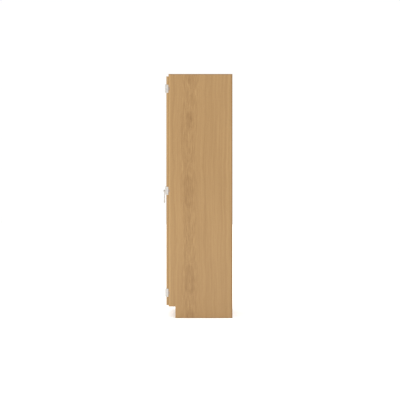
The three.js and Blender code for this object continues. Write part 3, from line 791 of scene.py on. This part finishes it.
# ---- Strike plates ------------------------------------------------------------------------------
# Thin nickel-plated plates, screwed over the mortises of the top and bottom panels. They let the
# rods and bolts through and guard the wood behind.
for node, bars, way in (
    ("top_strike_plate", ("upper_latch_rod", "top_slide_bolt"), -1),
    ("bottom_strike_plate", ("lower_latch_rod", "bottom_slide_bolt"), 1),
):
    low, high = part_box(node)
    near, far = (low.z, high.z) if way < 0 else (high.z, low.z)
    plate = Blank()
    outline = oblong((low.x, low.y), (high.x, high.y), radius=3 * MM)
    slots = [(bar_mortise(bar), None) for bar in bars]
    cut_board(plate, "z", [(outline, near, far)], holes=slots, arris=0.3 * MM)
    plate.piece(f"{node}_metal", "carcass", "nickel_plate", [node], nickel)
    middle_y = (low.y + high.y) / 2
    screws_x = (low.x + 5.5 * MM, (low.x + high.x) / 2, high.x - 3.6 * MM)
    places = [(x, middle_y, near) for x in screws_x]
    screws(f"{node}_screws", "carcass", "zinc_steel", places, "z", way, radius=2.9 * MM)


# ---- Doors --------------------------------------------------------------------------------------
# Veneered plywood that overlays the carcass, banded with oak on all four edges. The back of the
# outer edge is housed for the hinges, and the right door is bored for the handle's spindle.
HINGES = ("bottom", "middle", "top")
HOUSING_WIDTH = 50 * MM
HOUSING_PLAY = 0.4 * MM
HOUSING_DEPTH = 1.85 * MM
SPINDLE_BORE_RADIUS = 8 * MM
UPRIGHT, LEVEL, HOUSED = 1, 2, 3

rose_low, rose_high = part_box("handle_rose")
spindle = ((rose_low.x + rose_high.x) / 2, (rose_low.z + rose_high.z) / 2)
door_low, door_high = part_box("right_door")
DOOR_BACK_Y, DOOR_FRONT_Y = door_high.y, door_low.y
plies_across_door = bare_plies("bare_plies_of_door", across=1, start=DOOR_FRONT_Y)
oak_door = {
    "left": veneer("oak_left_door", across=0, along=2, heart=-0.25, depth=0.05),
    "right": veneer("oak_right_door", across=0, along=2, heart=0.21, depth=0.05),
}


def door_outline(side, way, housing_width):
    """A door's outline in x and z, with a housing of that width at each hinge."""
    low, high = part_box(f"{side}_door")
    outer, inner = (high.x, low.x) if way > 0 else (low.x, high.x)
    outline = [(inner, low.z), (outer, low.z)]
    for hinge in HINGES:
        leaf_low, leaf_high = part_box(f"{side}_{hinge}_hinge_door_leaf")
        foot, head = leaf_low.z - HOUSING_PLAY, leaf_high.z + HOUSING_PLAY
        deep = outer - way * housing_width
        outline += [(outer, foot), (deep, foot), (deep, head), (outer, head)]
    return outline + [(outer, high.z), (inner, high.z)]


door_edges = [LEVEL, UPRIGHT] + [HOUSED, HOUSED, HOUSED, UPRIGHT] * len(HINGES) + [LEVEL, UPRIGHT]
for side, way in (("left", -1), ("right", 1)):
    housing_y = DOOR_BACK_Y - HOUSING_DEPTH
    door = Blank()
    cut_board(
        door,
        "y",
        [
            (door_outline(side, way, HOUSING_WIDTH), DOOR_BACK_Y, housing_y),
            (door_outline(side, way, 0), housing_y, DOOR_FRONT_Y),
        ],
        holes=[(ring_of(spindle, SPINDLE_BORE_RADIUS, 24), None)] if side == "right" else [],
        arris=0.9 * MM,
        edges=door_edges,
        inside=HOUSED,
    )
    door.piece(
        f"{side}_door_panel",
        f"{side}_door",
        "oak_veneer",
        [f"{side}_door"],
        oak_door[side],
        oak_band_upright,
        oak_band_level,
        plies_across_door,
    )


# ---- Door bumpers -------------------------------------------------------------------------------
# Clear rubber dots, stuck to the doors' backs where they close on the top and bottom panels. Each
# is a low dome on a short straight wall.
def rubber(name, colour):
    """Clear rubber, milky with age: its tone and gloss follow a slow noise."""
    finish = Finish(name)
    haze = finish.noise(*[part * 300.0 for part in finish.place()])
    return finish.done(
        Base_Color=finish.mixed(haze, colour, tuple(0.85 * part for part in colour)),
        Roughness=0.3 + haze * 0.3,
    )


bumper_rubber = rubber("bumper_rubber", (0.52, 0.50, 0.45))
BUMPER_RADIUS = 4 * MM
BUMPER_HEIGHT = 0.6 * MM
BUMPERS_FROM_MIDDLE = (90 * MM, 380 * MM)
bumper_z = (door_high.z - 1.15 * BUMPER_RADIUS, floor_high.z - 1.6 * BUMPER_RADIUS)
for side, way in (("left", -1), ("right", 1)):
    bumpers = Blank()
    dome = [
        (0, 0),
        (BUMPER_RADIUS, 0),
        (BUMPER_RADIUS, 0.25 * BUMPER_HEIGHT),
        (0.8 * BUMPER_RADIUS, 0.8 * BUMPER_HEIGHT),
        (0.4 * BUMPER_RADIUS, BUMPER_HEIGHT),
        (0, BUMPER_HEIGHT),
    ]
    for out in BUMPERS_FROM_MIDDLE:
        for z in bumper_z:
            turned(bumpers, dome, (way * out, DOOR_BACK_Y, z), "y", sides=20)
    bumpers.piece(f"{side}_door_bumpers", f"{side}_door", "nylon", [], bumper_rubber)


# ---- Hinges -------------------------------------------------------------------------------------
# Five-knuckle hinges of dull chromed steel. Each leaf is a plate cut into fingers, which wrap the
# door's edge and curl round the pin; the fingers of the two leaves take turns along the barrel.
LEAF = 2 * MM
KNUCKLES = 5
CURL_RADIUS = 4 * MM  # at the middle of the sheet
BEND_RADIUS = 1.6 * MM
KNUCKLE_GAP = 0.4 * MM
PLATE_CORNER = 5 * MM
SIDE_FACE_X = side_high.x
dull_chrome = plated("dull_chrome", (0.63, 0.60, 0.56), 0.36, brushed=2)


def bent(corners, radius, steps=6):
    """A path through corners in plan whose right-angled corners are rounded to arcs.

    An arc's points are its centre less the radius times the two legs' directions, one times the
    cosine and the other times the sine of an angle that runs from 0 to 90 degrees.
    """
    corners = np.asarray(corners, float)
    path = [corners[:1]]
    for before, corner, after in zip(corners, corners[1:], corners[2:]):
        first = (before - corner) / np.hypot(*(before - corner))
        second = (after - corner) / np.hypot(*(after - corner))
        if abs(first @ second) > 0.5:
            path.append(corner[None])
            continue
        centre = corner + radius * (first + second)
        share = np.linspace(0, np.pi / 2, steps)[:, None]
        path.append(centre - radius * (second * np.cos(share) + first * np.sin(share)))
    return np.vstack(path + [corners[-1:]])


def hinge_leaf(name, way, node, body, barrel, corners, fingers, plate_from):
    """One leaf: a section in plan swept up the hinge's height, without the cells between fingers.

    The section curls 300 degrees round the barrel at CURL_RADIUS and then follows the corners. Near
    the plate's end its top and foot run in as H - R + sqrt(R^2 - d^2), which rounds the corners.
    """
    low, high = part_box(node)
    curl = np.radians(np.linspace(300, 0, 31))[:, None]
    curl = barrel + CURL_RADIUS * np.hstack([np.cos(curl), np.sin(curl)])
    strap = bent([curl[-1], *corners], BEND_RADIUS)[1:]
    tail = strap[-1] - strap[-2]
    length = np.hypot(*tail)
    round_off = np.linspace(0, np.pi / 2, 5)
    share = 1 - PLATE_CORNER / length * (1 - np.sin(round_off))[:, None]
    section = np.vstack([curl, strap[:-1], strap[-2] + tail * share])
    pitch = (high.z - low.z) / KNUCKLES
    cuts = [low.z + number * pitch + part for number in range(1, KNUCKLES)
            for part in (-KNUCKLE_GAP / 2, KNUCKLE_GAP / 2)]
    heights = np.array([low.z, *cuts, high.z])
    grid = np.empty((len(section), len(heights), 3))
    grid[..., 0] = way * (SIDE_FACE_X + section[:, :1])
    grid[..., 1] = FRONT_EDGE_Y - section[:, 1:]
    grid[..., 2] = heights
    run_in = PLATE_CORNER * (1 - np.cos(round_off))
    grid[-len(run_in):, 0, 2] += run_in
    grid[-len(run_in):, -1, 2] -= run_in
    in_plate = np.arange(len(section) - 1) >= np.flatnonzero(plate_from(section))[0]
    cell = np.arange(len(heights) - 1)
    in_finger = (cell % 2 == 0) & np.isin(cell // 2, fingers)
    kept = in_plate[:, None] | in_finger[None, :]
    step, row = np.nonzero(kept)
    columns = len(heights)
    corner = step * columns + row
    faces = np.stack([corner, corner + 1, corner + columns + 1, corner + columns], 1)
    used, faces = np.unique(faces, return_inverse=True)
    leaf = Blank()
    leaf.add(grid.reshape(-1, 3)[used], faces.reshape(-1, 4).tolist(), smooth=True)
    made = leaf.piece(name, body, "dull_chrome", [node], dull_chrome)
    sheet = made.modifiers.new("sheet", "SOLIDIFY")
    sheet.thickness = LEAF
    sheet.offset = 0
    sheet.use_even_offset = True
    edge = made.modifiers.new("edge", "BEVEL")
    edge.width = 0.25 * MM
    edge.segments = 2
    edge.limit_method = "ANGLE"
    edge.angle_limit = np.radians(50)


STRAP_OUT = -1.3 * MM  # the straps' middle, from the side panel's outer face
FLANGE_AHEAD = 1.3 * MM  # the flanges' middle, ahead of the carcass's front edges
FRAME_PLATE_OUT = -19.6 * MM
FRAME_PLATE_END = -34 * MM
DOOR_PLATE_END = -52 * MM
TAB_PROUD = 0.12 * MM
TAB_HALF_HEIGHT = 13 * MM
TAB_FROM_FRONT = (0.8 * MM, 10.2 * MM)
DOOR_SCREWS = ((30.5, 25), (30.5, -25), (43.5, 13), (43.5, -13))  # MM inwards and up
FRAME_SCREWS = ((11, 24), (11, -24), (24, 11), (24, -11))  # MM backwards and up
# The tab's dark, brownish steel is painted shade, standing in for the shade beside each hinge's
# middle.
painted_shade_tab_steel = plated("painted_shade_steel", (0.345, 0.265, 0.225), 0.42, brushed=2)
for side, way in (("left", -1), ("right", 1)):
    for hinge in HINGES:
        name = f"{side}_{hinge}_hinge"
        pin_low, pin_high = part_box(f"{name}_pin")
        pin_x, pin_y = (pin_low.x + pin_high.x) / 2, (pin_low.y + pin_high.y) / 2
        middle_z = (pin_low.z + pin_high.z) / 2
        barrel = np.array([abs(pin_x) - SIDE_FACE_X, FRONT_EDGE_Y - pin_y])
        hinge_leaf(
            f"{name}_frame_plate",
            way,
            f"{name}_frame_leaf",
            "carcass",
            barrel,
            [
                (STRAP_OUT, FLANGE_AHEAD),
                (FRAME_PLATE_OUT, FLANGE_AHEAD),
                (FRAME_PLATE_OUT, -0.8 * MM),
                (FRAME_PLATE_OUT, FRAME_PLATE_END),
            ],
            fingers=(1, 3),
            plate_from=lambda section: section[:, 1] < -0.75 * MM,
        )
        hinge_leaf(
            f"{name}_door_plate",
            way,
            f"{name}_door_leaf",
            f"{side}_door",
            barrel,
            [(STRAP_OUT, FLANGE_AHEAD), (-23.5 * MM, FLANGE_AHEAD), (DOOR_PLATE_END, FLANGE_AHEAD)],
            fingers=(0, 2, 4),
            plate_from=lambda section: section[:, 0] < -23 * MM,
        )
        pin = Blank()
        half, tip = (pin_high.z - pin_low.z) / 2, 2.6 * MM
        profile = [
            (0, -half),
            (2.2 * MM, -half + 0.15 * MM),
            (3.6 * MM, -half + 0.9 * MM),
            (4.3 * MM, -half + 1.9 * MM),
            (4.3 * MM, -half + tip),
            (2.8 * MM, -half + tip),
        ]
        profile += [(radius, -height) for radius, height in profile[::-1]]
        turned(pin, profile, (pin_x, pin_y, middle_z), "z")
        pin.piece(f"{name}_pin_rod", "carcass", "dull_chrome", [f"{name}_pin"], dull_chrome)

        # A flush tab on the side panel's outer face at the hinge's middle, darkened with painted
        # shade.
        tab = Blank()
        tab_outline = oblong(
            (FRONT_EDGE_Y + TAB_FROM_FRONT[0], middle_z - TAB_HALF_HEIGHT),
            (FRONT_EDGE_Y + TAB_FROM_FRONT[1], middle_z + TAB_HALF_HEIGHT),
            radius=1.5 * MM,
        )
        tab_face_x = way * (SIDE_FACE_X + TAB_PROUD)
        tab_layer = (tab_outline, way * (SIDE_FACE_X - 1 * MM), tab_face_x)
        cut_board(tab, "x", [tab_layer], arris=0.1 * MM)
        tab.piece(f"{name}_painted_shade_tab", "carcass", "dull_chrome", [], painted_shade_tab_steel)
        places = [
            (way * (SIDE_FACE_X - out * MM), FRONT_EDGE_Y - 0.3 * MM, middle_z + rise * MM)
            for out, rise in DOOR_SCREWS
        ]
        screws(f"{name}_door_screws", f"{side}_door", "dull_chrome", places, "y", 1)
        places = [
            (way * (SIDE_FACE_X - 20.6 * MM), FRONT_EDGE_Y + back * MM, middle_z + rise * MM)
            for back, rise in FRAME_SCREWS
        ]
        screws(f"{name}_frame_screws", "carcass", "dull_chrome", places, "x", -way)


# ---- Handle rose --------------------------------------------------------------------------------
# A dull chromed washer with a rolled rim, held between the lever and the door. It covers the
# spindle's bore.
rose = Blank()
rose_front, rose_back = rose_low.y, rose_high.y
ROSE_RADIUS = (rose_high.x - rose_low.x) / 2
profile = [
    (7 * MM, rose_back),
    (ROSE_RADIUS, rose_back),
    (ROSE_RADIUS, rose_back - 1.2 * MM),
    (ROSE_RADIUS - 0.5 * MM, rose_back - 2.0 * MM),
    (ROSE_RADIUS - 1.8 * MM, rose_front),
    (ROSE_RADIUS - 3.2 * MM, rose_front + 0.2 * MM),
    (ROSE_RADIUS - 4.0 * MM, rose_front + 0.7 * MM),
    (14 * MM, rose_front + 0.7 * MM),
    (7 * MM, rose_front + 0.6 * MM),
]
turned(rose, profile, (spindle[0], 0, spindle[1]), "y", sides=64, closed=True)
cast_chrome = plated("cast_dull_chrome", (0.62, 0.61, 0.58), 0.32, depth=0.01 * MM)
rose.piece("handle_rose_ring", "right_door", "dull_chrome", ["handle_rose"], cast_chrome)


# ---- Lever handle -------------------------------------------------------------------------------
# One zinc casting, dull chromed: a hub that holds the lock, and a flat lever that hangs from it,
# narrows a little and ends in a rolled tip for the finger.
def lofted(blank, centres, widths, depths, power=3.2, sides=32):
    """A bar in x and y down a line of centres, closed at both ends.

    Its section is a superellipse: x and y are the half width and half depth times the cosine and
    sine of an angle, each raised to 2 / power with its sign kept.
    """
    turn = 2 * np.pi * np.arange(sides) / sides
    ring = np.stack([np.cos(turn), np.sin(turn)], 1)
    ring = np.sign(ring) * np.abs(ring) ** (2 / power)
    half = np.stack([widths, depths], 1)[:, None, :] / 2
    points = np.empty((len(centres), sides, 3))
    points[..., :2] = np.asarray(centres)[:, None, :2] + half * ring
    points[..., 2] = np.asarray(centres)[:, None, 2]
    ends = np.repeat(np.asarray(centres)[[0, -1]][:, None], sides, axis=1)
    points = np.concatenate([ends[:1], points, ends[1:]])
    blank.add(points, quads(0, len(points), sides), smooth=True)


def fused(made, grain, rounds):
    """Melts a piece's shells into one skin of small squares, eased at its joints like a casting."""
    melt = made.modifiers.new("melt", "REMESH")
    melt.mode = "VOXEL"
    melt.voxel_size = grain
    melt.use_smooth_shade = True
    ease = made.modifiers.new("ease", "SMOOTH")
    ease.factor = 0.5
    ease.iterations = rounds
    bpy.context.view_layer.update()
    drawn = made.evaluated_get(bpy.context.evaluated_depsgraph_get())
    skin = bpy.data.meshes.new_from_object(drawn)
    made.modifiers.clear()
    made.data = skin
    skin.polygons.foreach_set("use_smooth", np.ones(len(skin.polygons), bool))


lever_low, lever_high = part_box("lever_handle")
plug_low, plug_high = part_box("lock_plug")
spindle_x, spindle_z = spindle
HUB_BACK_Y = rose_front - 0.3 * MM
HUB_FRONT_Y = lever_low.y
PLUG_ROOM_RADIUS = 7.8 * MM
PLUG_ROOM_END_Y = plug_high.y + 0.5 * MM
LEVER_MIDDLE_Y = DOOR_FRONT_Y - 28.55 * MM
lever = Blank()
hub = [
    (0, HUB_BACK_Y),
    (12.6 * MM, HUB_BACK_Y),
    (13.0 * MM, HUB_BACK_Y - 0.5 * MM),
    (13.0 * MM, HUB_BACK_Y - 2.5 * MM),
    (11.4 * MM, HUB_BACK_Y - 5.0 * MM),
    (11.2 * MM, HUB_BACK_Y - 12.0 * MM),
    (12.4 * MM, HUB_BACK_Y - 18.0 * MM),
    (13.0 * MM, HUB_FRONT_Y + 4.0 * MM),
    (13.0 * MM, HUB_FRONT_Y + 1.6 * MM),
    (12.4 * MM, HUB_FRONT_Y + 0.5 * MM),
    (11.2 * MM, HUB_FRONT_Y),
    (PLUG_ROOM_RADIUS + 0.3 * MM, HUB_FRONT_Y),
    (PLUG_ROOM_RADIUS, HUB_FRONT_Y + 0.4 * MM),
    (PLUG_ROOM_RADIUS, PLUG_ROOM_END_Y),
    (0, PLUG_ROOM_END_Y),
]
turned(lever, hub, (spindle_x, 0, spindle_z), "y", sides=64)
drop = np.array([9, 14, 24, 45, 70, 88, 94, 98, 102, 105, 107, 107.9]) * MM
widths = np.array([17, 15, 13.2, 12.6, 12.0, 11.6, 11.6, 11.6, 11.2, 9.6, 7, 3]) * MM
depths = np.array([8, 7, 6.5, 6.2, 6.2, 6.6, 8.4, 9.2, 8.0, 6.2, 4.6, 2.4]) * MM
centres = np.stack(
    [np.full(len(drop), spindle_x), np.full(len(drop), LEVER_MIDDLE_Y), spindle_z - drop], axis=1
)
lofted(lever, centres, widths, depths)
made = lever.piece("lever_casting", "handle", "dull_chrome", ["lever_handle"], cast_chrome)
fused(made, grain=0.6 * MM, rounds=5)

shank = Blank()
cam_low, cam_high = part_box("latch_cam")


def square_on_spindle(half, radius):
    """The outline of a square in x and z round the spindle's middle, its corners rounded."""
    return oblong((spindle_x - half, spindle_z - half), (spindle_x + half, spindle_z + half), radius)


SHANK_HALF = 4 * MM
square = square_on_spindle(SHANK_HALF, radius=0.5 * MM)
SHANK_END_Y = FRONT_EDGE_Y + 6.4 * MM
cut_board(shank, "y", [(square, HUB_BACK_Y - 2 * MM, SHANK_END_Y)], arris=0.3 * MM)
THREAD_PITCH = 0.8 * MM
thread_length = lever_high.y - SHANK_END_Y
steps = int(round(2 * thread_length / THREAD_PITCH))
thread = [(0, SHANK_END_Y - 0.5 * MM)]
thread += [
    ((2.4 if step % 2 else 2.0) * MM, SHANK_END_Y + step * THREAD_PITCH / 2)
    for step in range(steps)
]
thread += [(1.8 * MM, lever_high.y - 0.1 * MM), (0, lever_high.y)]
zinc = plated("bright_zinc", (0.43, 0.44, 0.455), 0.36, brushed=2, depth=0.012 * MM)
turned(shank, thread, (spindle_x, 0, spindle_z), "y", sides=24)
shank.piece("handle_spindle", "handle", "zinc_steel", [], zinc)


# ---- Lock plug ----------------------------------------------------------------------------------
# A nickel-plated cylinder in the lever's hub, with a stepped keyway 9 mm deep. It turns in the
# hub with 0.3 mm of room all round.
plug = Blank()
plug_face_y, plug_rear_y = plug_low.y, plug_high.y
keyway = [
    (spindle_x + across * MM, spindle_z + rise * MM)
    for across, rise in (
        (-1.1, -4.4),
        (0.7, -4.4),
        (0.7, -1.6),
        (1.1, -1.2),
        (1.1, 1.4),
        (0.6, 1.8),
        (0.6, 4.4),
        (-1.1, 4.4),
        (-1.1, 0.6),
        (-0.6, 0.2),
        (-0.6, -1.4),
        (-1.1, -1.8),
    )
]
cut_board(
    plug,
    "y",
    [(ring_of(spindle, 7.5 * MM, 48), plug_face_y, plug_rear_y)],
    holes=[(keyway, 9 * MM)],
    arris=0.6 * MM,
)
plug.piece("lock_plug_barrel", "lock_plug", "nickel_plate", ["lock_plug"], nickel)


# ---- Latch cam and nut --------------------------------------------------------------------------
# Zinc-plated steel on the spindle's inner end. The disc's two pins work the rods, and the tongue
# swings behind the left door.
CAM_BACK_Y = FRONT_EDGE_Y + 7 * MM
CAM_FRONT_Y = FRONT_EDGE_Y + 4 * MM
BOSS_FRONT_Y = cam_low.y
PIN_NEAR = 15 * MM * np.sqrt(0.5)
cam = Blank()
CAM_HOLE_HALF = 4.3 * MM
square_hole = square_on_spindle(CAM_HOLE_HALF, radius=0.4 * MM)
cut_board(
    cam,
    "y",
    [(ring_of(spindle, 19 * MM, 64), CAM_FRONT_Y, CAM_BACK_Y)],
    holes=[(square_hole, None)],
    arris=0.4 * MM,
)
cut_board(
    cam,
    "y",
    [(ring_of(spindle, 9 * MM, 40), BOSS_FRONT_Y, CAM_FRONT_Y + 0.1 * MM)],
    holes=[(square_hole, None)],
    arris=0.4 * MM,
)
tongue = oblong(
    (spindle_x - 8 * MM, spindle_z + 7 * MM), (spindle_x + 8 * MM, cam_high.z), radius=5 * MM
)
cut_board(
    cam, "y", [(tongue, BOSS_FRONT_Y + 0.25 * MM, BOSS_FRONT_Y + 3.25 * MM)], arris=0.4 * MM
)
for way in (-1, 1):
    pin = [
        (0, CAM_FRONT_Y + 1 * MM),
        (2 * MM, CAM_FRONT_Y + 1 * MM),
        (2 * MM, cam_high.y - 0.5 * MM),
        (1.5 * MM, cam_high.y),
        (0, cam_high.y),
    ]
    turned(cam, pin, (spindle_x + way * PIN_NEAR, 0, spindle_z - way * PIN_NEAR), "y", sides=24)
cam.piece("latch_cam_plate", "handle", "zinc_steel", ["latch_cam"], zinc)

nut_low, nut_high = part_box("cam_nut")
nut = Blank()
cut_board(
    nut,
    "y",
    [(ring_of(spindle, 4.6 * MM, 6), nut_low.y, nut_high.y)],
    holes=[(ring_of(spindle, 2.5 * MM, 24), None)],
    arris=0.5 * MM,
)
nut.piece("spindle_nut", "handle", "zinc_steel", ["cam_nut"], zinc)


# ---- Latch rods and their guides ----------------------------------------------------------------
# Flat zinc-plated bars, widened into a slotted eye round the cam's pin and tapered at the tip. A
# nylon block near each tip, held by two screws, keeps the rod against the door.
def nylon_finish(name, colour):
    """Moulded nylon: a faint grain in its gloss, and a slow yellowing."""
    finish = Finish(name)
    place = finish.place()
    grain = finish.noise(*[part * 1500.0 for part in place]) - 0.5
    age = finish.noise(*[part * 60.0 for part in place])
    return finish.done(
        Base_Color=finish.mixed(age, colour, (colour[0] * 0.93, colour[1] * 0.9, colour[2] * 0.8)),
        Roughness=0.45 + grain * 0.3,
        Normal=finish.bump(0.5 + grain, 0.02 * MM),
    )


nylon = nylon_finish("guide_nylon", (0.60, 0.58, 0.52))
EYE_HALF = 7.5 * MM
EYE_RISE = 7 * MM
ROD_SLOT = (4.6 * MM, 2.9 * MM)
GUIDE_PLAY = 0.5 * MM


def mirrored(middle, half):
    """A bar's outline: the points of its right half, and back down through their mirror images."""
    return [(middle + x, z) for x, z in half] + [(middle - x, z) for x, z in half[::-1]]


for place, way in (("upper", 1), ("lower", -1)):
    low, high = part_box(f"{place}_latch_rod")
    middle = (low.x + high.x) / 2
    eye_end, tip = (low.z, high.z) if way > 0 else (high.z, low.z)
    eye_z = eye_end + way * EYE_RISE
    shoulder = eye_z + way * EYE_RISE
    half_outline = [
        (EYE_HALF - 3 * MM, eye_end),
        (EYE_HALF - 0.9 * MM, eye_end + way * 0.9 * MM),
        (EYE_HALF, eye_end + way * 3 * MM),
        (EYE_HALF, shoulder - way * 2 * MM),
        (ROD_HALF, shoulder + way * 2 * MM),
        (ROD_HALF, tip - way * 6 * MM),
        (ROD_HALF - 1.2 * MM, tip - way * 1.6 * MM),
        (ROD_HALF - 2.6 * MM, tip),
    ]
    slot = oblong(
        (middle - ROD_SLOT[0], eye_z - ROD_SLOT[1]),
        (middle + ROD_SLOT[0], eye_z + ROD_SLOT[1]),
        radius=2.8 * MM,
    )
    rod = Blank()
    outline = mirrored(middle, half_outline)
    cut_board(rod, "y", [(outline, low.y, high.y)], holes=[(slot, None)], arris=0.4 * MM)
    rod.piece(f"{place}_rod_bar", f"{place}_rod", "zinc_steel", [f"{place}_latch_rod"], zinc)

    guide = Blank()
    passage = oblong(
        (middle - ROD_HALF - GUIDE_PLAY, low.y - GUIDE_PLAY),
        (middle + ROD_HALF + GUIDE_PLAY, high.y + GUIDE_PLAY),
    )
    low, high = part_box(f"{place}_rod_guide")
    outline = oblong((low.x, low.y), (high.x, high.y), radius=1.5 * MM)
    cut_board(guide, "z", [(outline, low.z, high.z)], holes=[(passage, None)], arris=0.8 * MM)
    guide.piece(f"{place}_guide_block", "right_door", "nylon", [f"{place}_rod_guide"], nylon)
    middle_z = (low.z + high.z) / 2
    places = [(middle + across * 10.4 * MM, high.y, middle_z) for across in (-1, 1)]
    screws(f"{place}_guide_screws", "right_door", "zinc_steel", places, "y", 1, radius=2.6 * MM)


# ---- Slide bolts --------------------------------------------------------------------------------
# Two on the left door: a zinc-plated bar with a knurled thumb knob in a nickel-plated case, which
# is a folded channel under a slotted cover.
KNOB_RADIUS = 4 * MM
COVER = 2.5 * MM
for place, way in (("top", 1), ("bottom", -1)):
    low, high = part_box(f"{place}_slide_bolt")
    middle = (low.x + high.x) / 2
    tail, tip = (low.z, high.z) if way > 0 else (high.z, low.z)
    case_low, case_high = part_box(f"{place}_bolt_case")
    case_z = (case_low.z + case_high.z) / 2
    half_outline = [
        (BOLT_HALF, tail),
        (BOLT_HALF, tip - way * 6 * MM),
        (BOLT_HALF - 1.0 * MM, tip - way * 1.6 * MM),
        (BOLT_HALF - 2.4 * MM, tip),
    ]
    bolt = Blank()
    outline = mirrored(middle, half_outline)
    cut_board(bolt, "y", [(outline, bar_low.y, bar_high.y)], arris=0.5 * MM)
    knob_z = case_z - way * 8 * MM
    neck_y, knob_y = bar_high.y - 0.5 * MM, high.y
    neck_end_y = neck_y + 4 * MM
    neck = [(0, neck_y), (KNOB_RADIUS, neck_y), (KNOB_RADIUS, neck_end_y), (0, neck_end_y)]
    turned(bolt, neck, (middle, 0, knob_z), "y", sides=48)
    knurled = [
        (0, neck_y + 3.9 * MM),
        (KNOB_RADIUS - 0.5 * MM, neck_y + 3.9 * MM),
        (KNOB_RADIUS, neck_y + 4.4 * MM),
        (KNOB_RADIUS, knob_y - 0.9 * MM),
        (KNOB_RADIUS - 0.6 * MM, knob_y - 0.2 * MM),
        (0, knob_y),
    ]
    turned(bolt, knurled, (middle, 0, knob_z), "y", sides=96, ribs=24, rib_depth=0.08)
    bolt.piece(f"{place}_bolt_bar", f"{place}_bolt", "zinc_steel", [f"{place}_slide_bolt"], zinc)

    case = Blank()
    room = BOLT_HALF + 0.5 * MM
    cover_y = case_high.y - COVER
    bed_y = bar_low.y - 0.5 * MM
    channel = [
        (case_low.x, case_low.y),
        (case_high.x, case_low.y),
        (case_high.x, cover_y),
        (middle + room, cover_y),
        (middle + room, bed_y),
        (middle - room, bed_y),
        (middle - room, cover_y),
        (case_low.x, cover_y),
    ]
    cut_board(case, "z", [(channel, case_low.z, case_high.z)], arris=0.5 * MM)
    slot = oblong(
        (middle - KNOB_RADIUS - 0.6 * MM, case_z - 12.6 * MM),
        (middle + KNOB_RADIUS + 0.6 * MM, case_z + 12.6 * MM),
        radius=KNOB_RADIUS,
    )
    cover = oblong((case_low.x, case_low.z), (case_high.x, case_high.z), radius=1.5 * MM)
    cut_board(
        case, "y", [(cover, cover_y, case_high.y)], holes=[(slot, None)], arris=0.5 * MM
    )
    case.piece(f"{place}_bolt_housing", "left_door", "nickel_plate", [f"{place}_bolt_case"], nickel)
    places = [(middle, case_high.y, case_z + rise * 21 * MM) for rise in (-1, 1)]
    screws(f"{place}_bolt_screws", "left_door", "zinc_steel", places, "y", 1, radius=2.8 * MM)


# ---- Floor and light ----------------------------------------------------------------------------
# A plain pale floor in an even white surround. A broad, soft lamp high on the right and a slight
# glow of its own lift the floor to white, and a large panel ahead on the right lights the doors
# and the side.
FLOOR_REACH = 40.0
FLOOR_GLOW = 0.24
FLOOR_COLOUR = (0.9, 0.9, 0.9)
SURROUND_STRENGTH = 1.01
floor_outline = oblong((-FLOOR_REACH, -FLOOR_REACH), (FLOOR_REACH, FLOOR_REACH))
floor_mesh = bpy.data.meshes.new("floor")
floor_mesh.from_pydata([(x, y, 0) for x, y in floor_outline], [], [(0, 1, 2, 3)])
pale = Finish("pale_floor")
floor_mesh.materials.append(
    pale.done(
        Base_Color=FLOOR_COLOUR,
        Roughness=0.8,
        Emission_Color=(1.0, 1.0, 1.0),
        Emission_Strength=FLOOR_GLOW,
    )
)
floor = bpy.data.objects.new("floor", floor_mesh)
bpy.context.scene.collection.objects.link(floor)


def lamp(name, kind, place, aim, **settings):
    """A lamp at a place, whose beam passes through aim and which no gloss mirrors."""
    light = bpy.data.lights.new(name, kind)
    for setting, value in settings.items():
        setattr(light, setting, value)
    stand = bpy.data.objects.new(name, light)
    stand.location = place
    stand.rotation_euler = (Vector(aim) - Vector(place)).to_track_quat("-Z", "Y").to_euler()
    stand.visible_glossy = False
    bpy.context.scene.collection.objects.link(stand)


cabinet_middle = (0, 0, CABINET_TOP_Z / 2)
lamp("overhead", "SUN", (2.2, -1.2, 6.0), cabinet_middle, energy=1.5, angle=np.radians(100))
lamp(
    "front_right",
    "AREA",
    (3.6, -4.2, 2.6),
    cabinet_middle,
    energy=72,
    shape="SQUARE",
    size=2.6,
)
world = bpy.data.worlds.new("surround")
bpy.context.scene.world = world
world.use_nodes = True
world.node_tree.nodes["Background"].inputs["Color"].default_value = (1, 1, 1, 1)
world.node_tree.nodes["Background"].inputs["Strength"].default_value = SURROUND_STRENGTH
bpy.context.scene.view_settings.view_transform = "Standard"
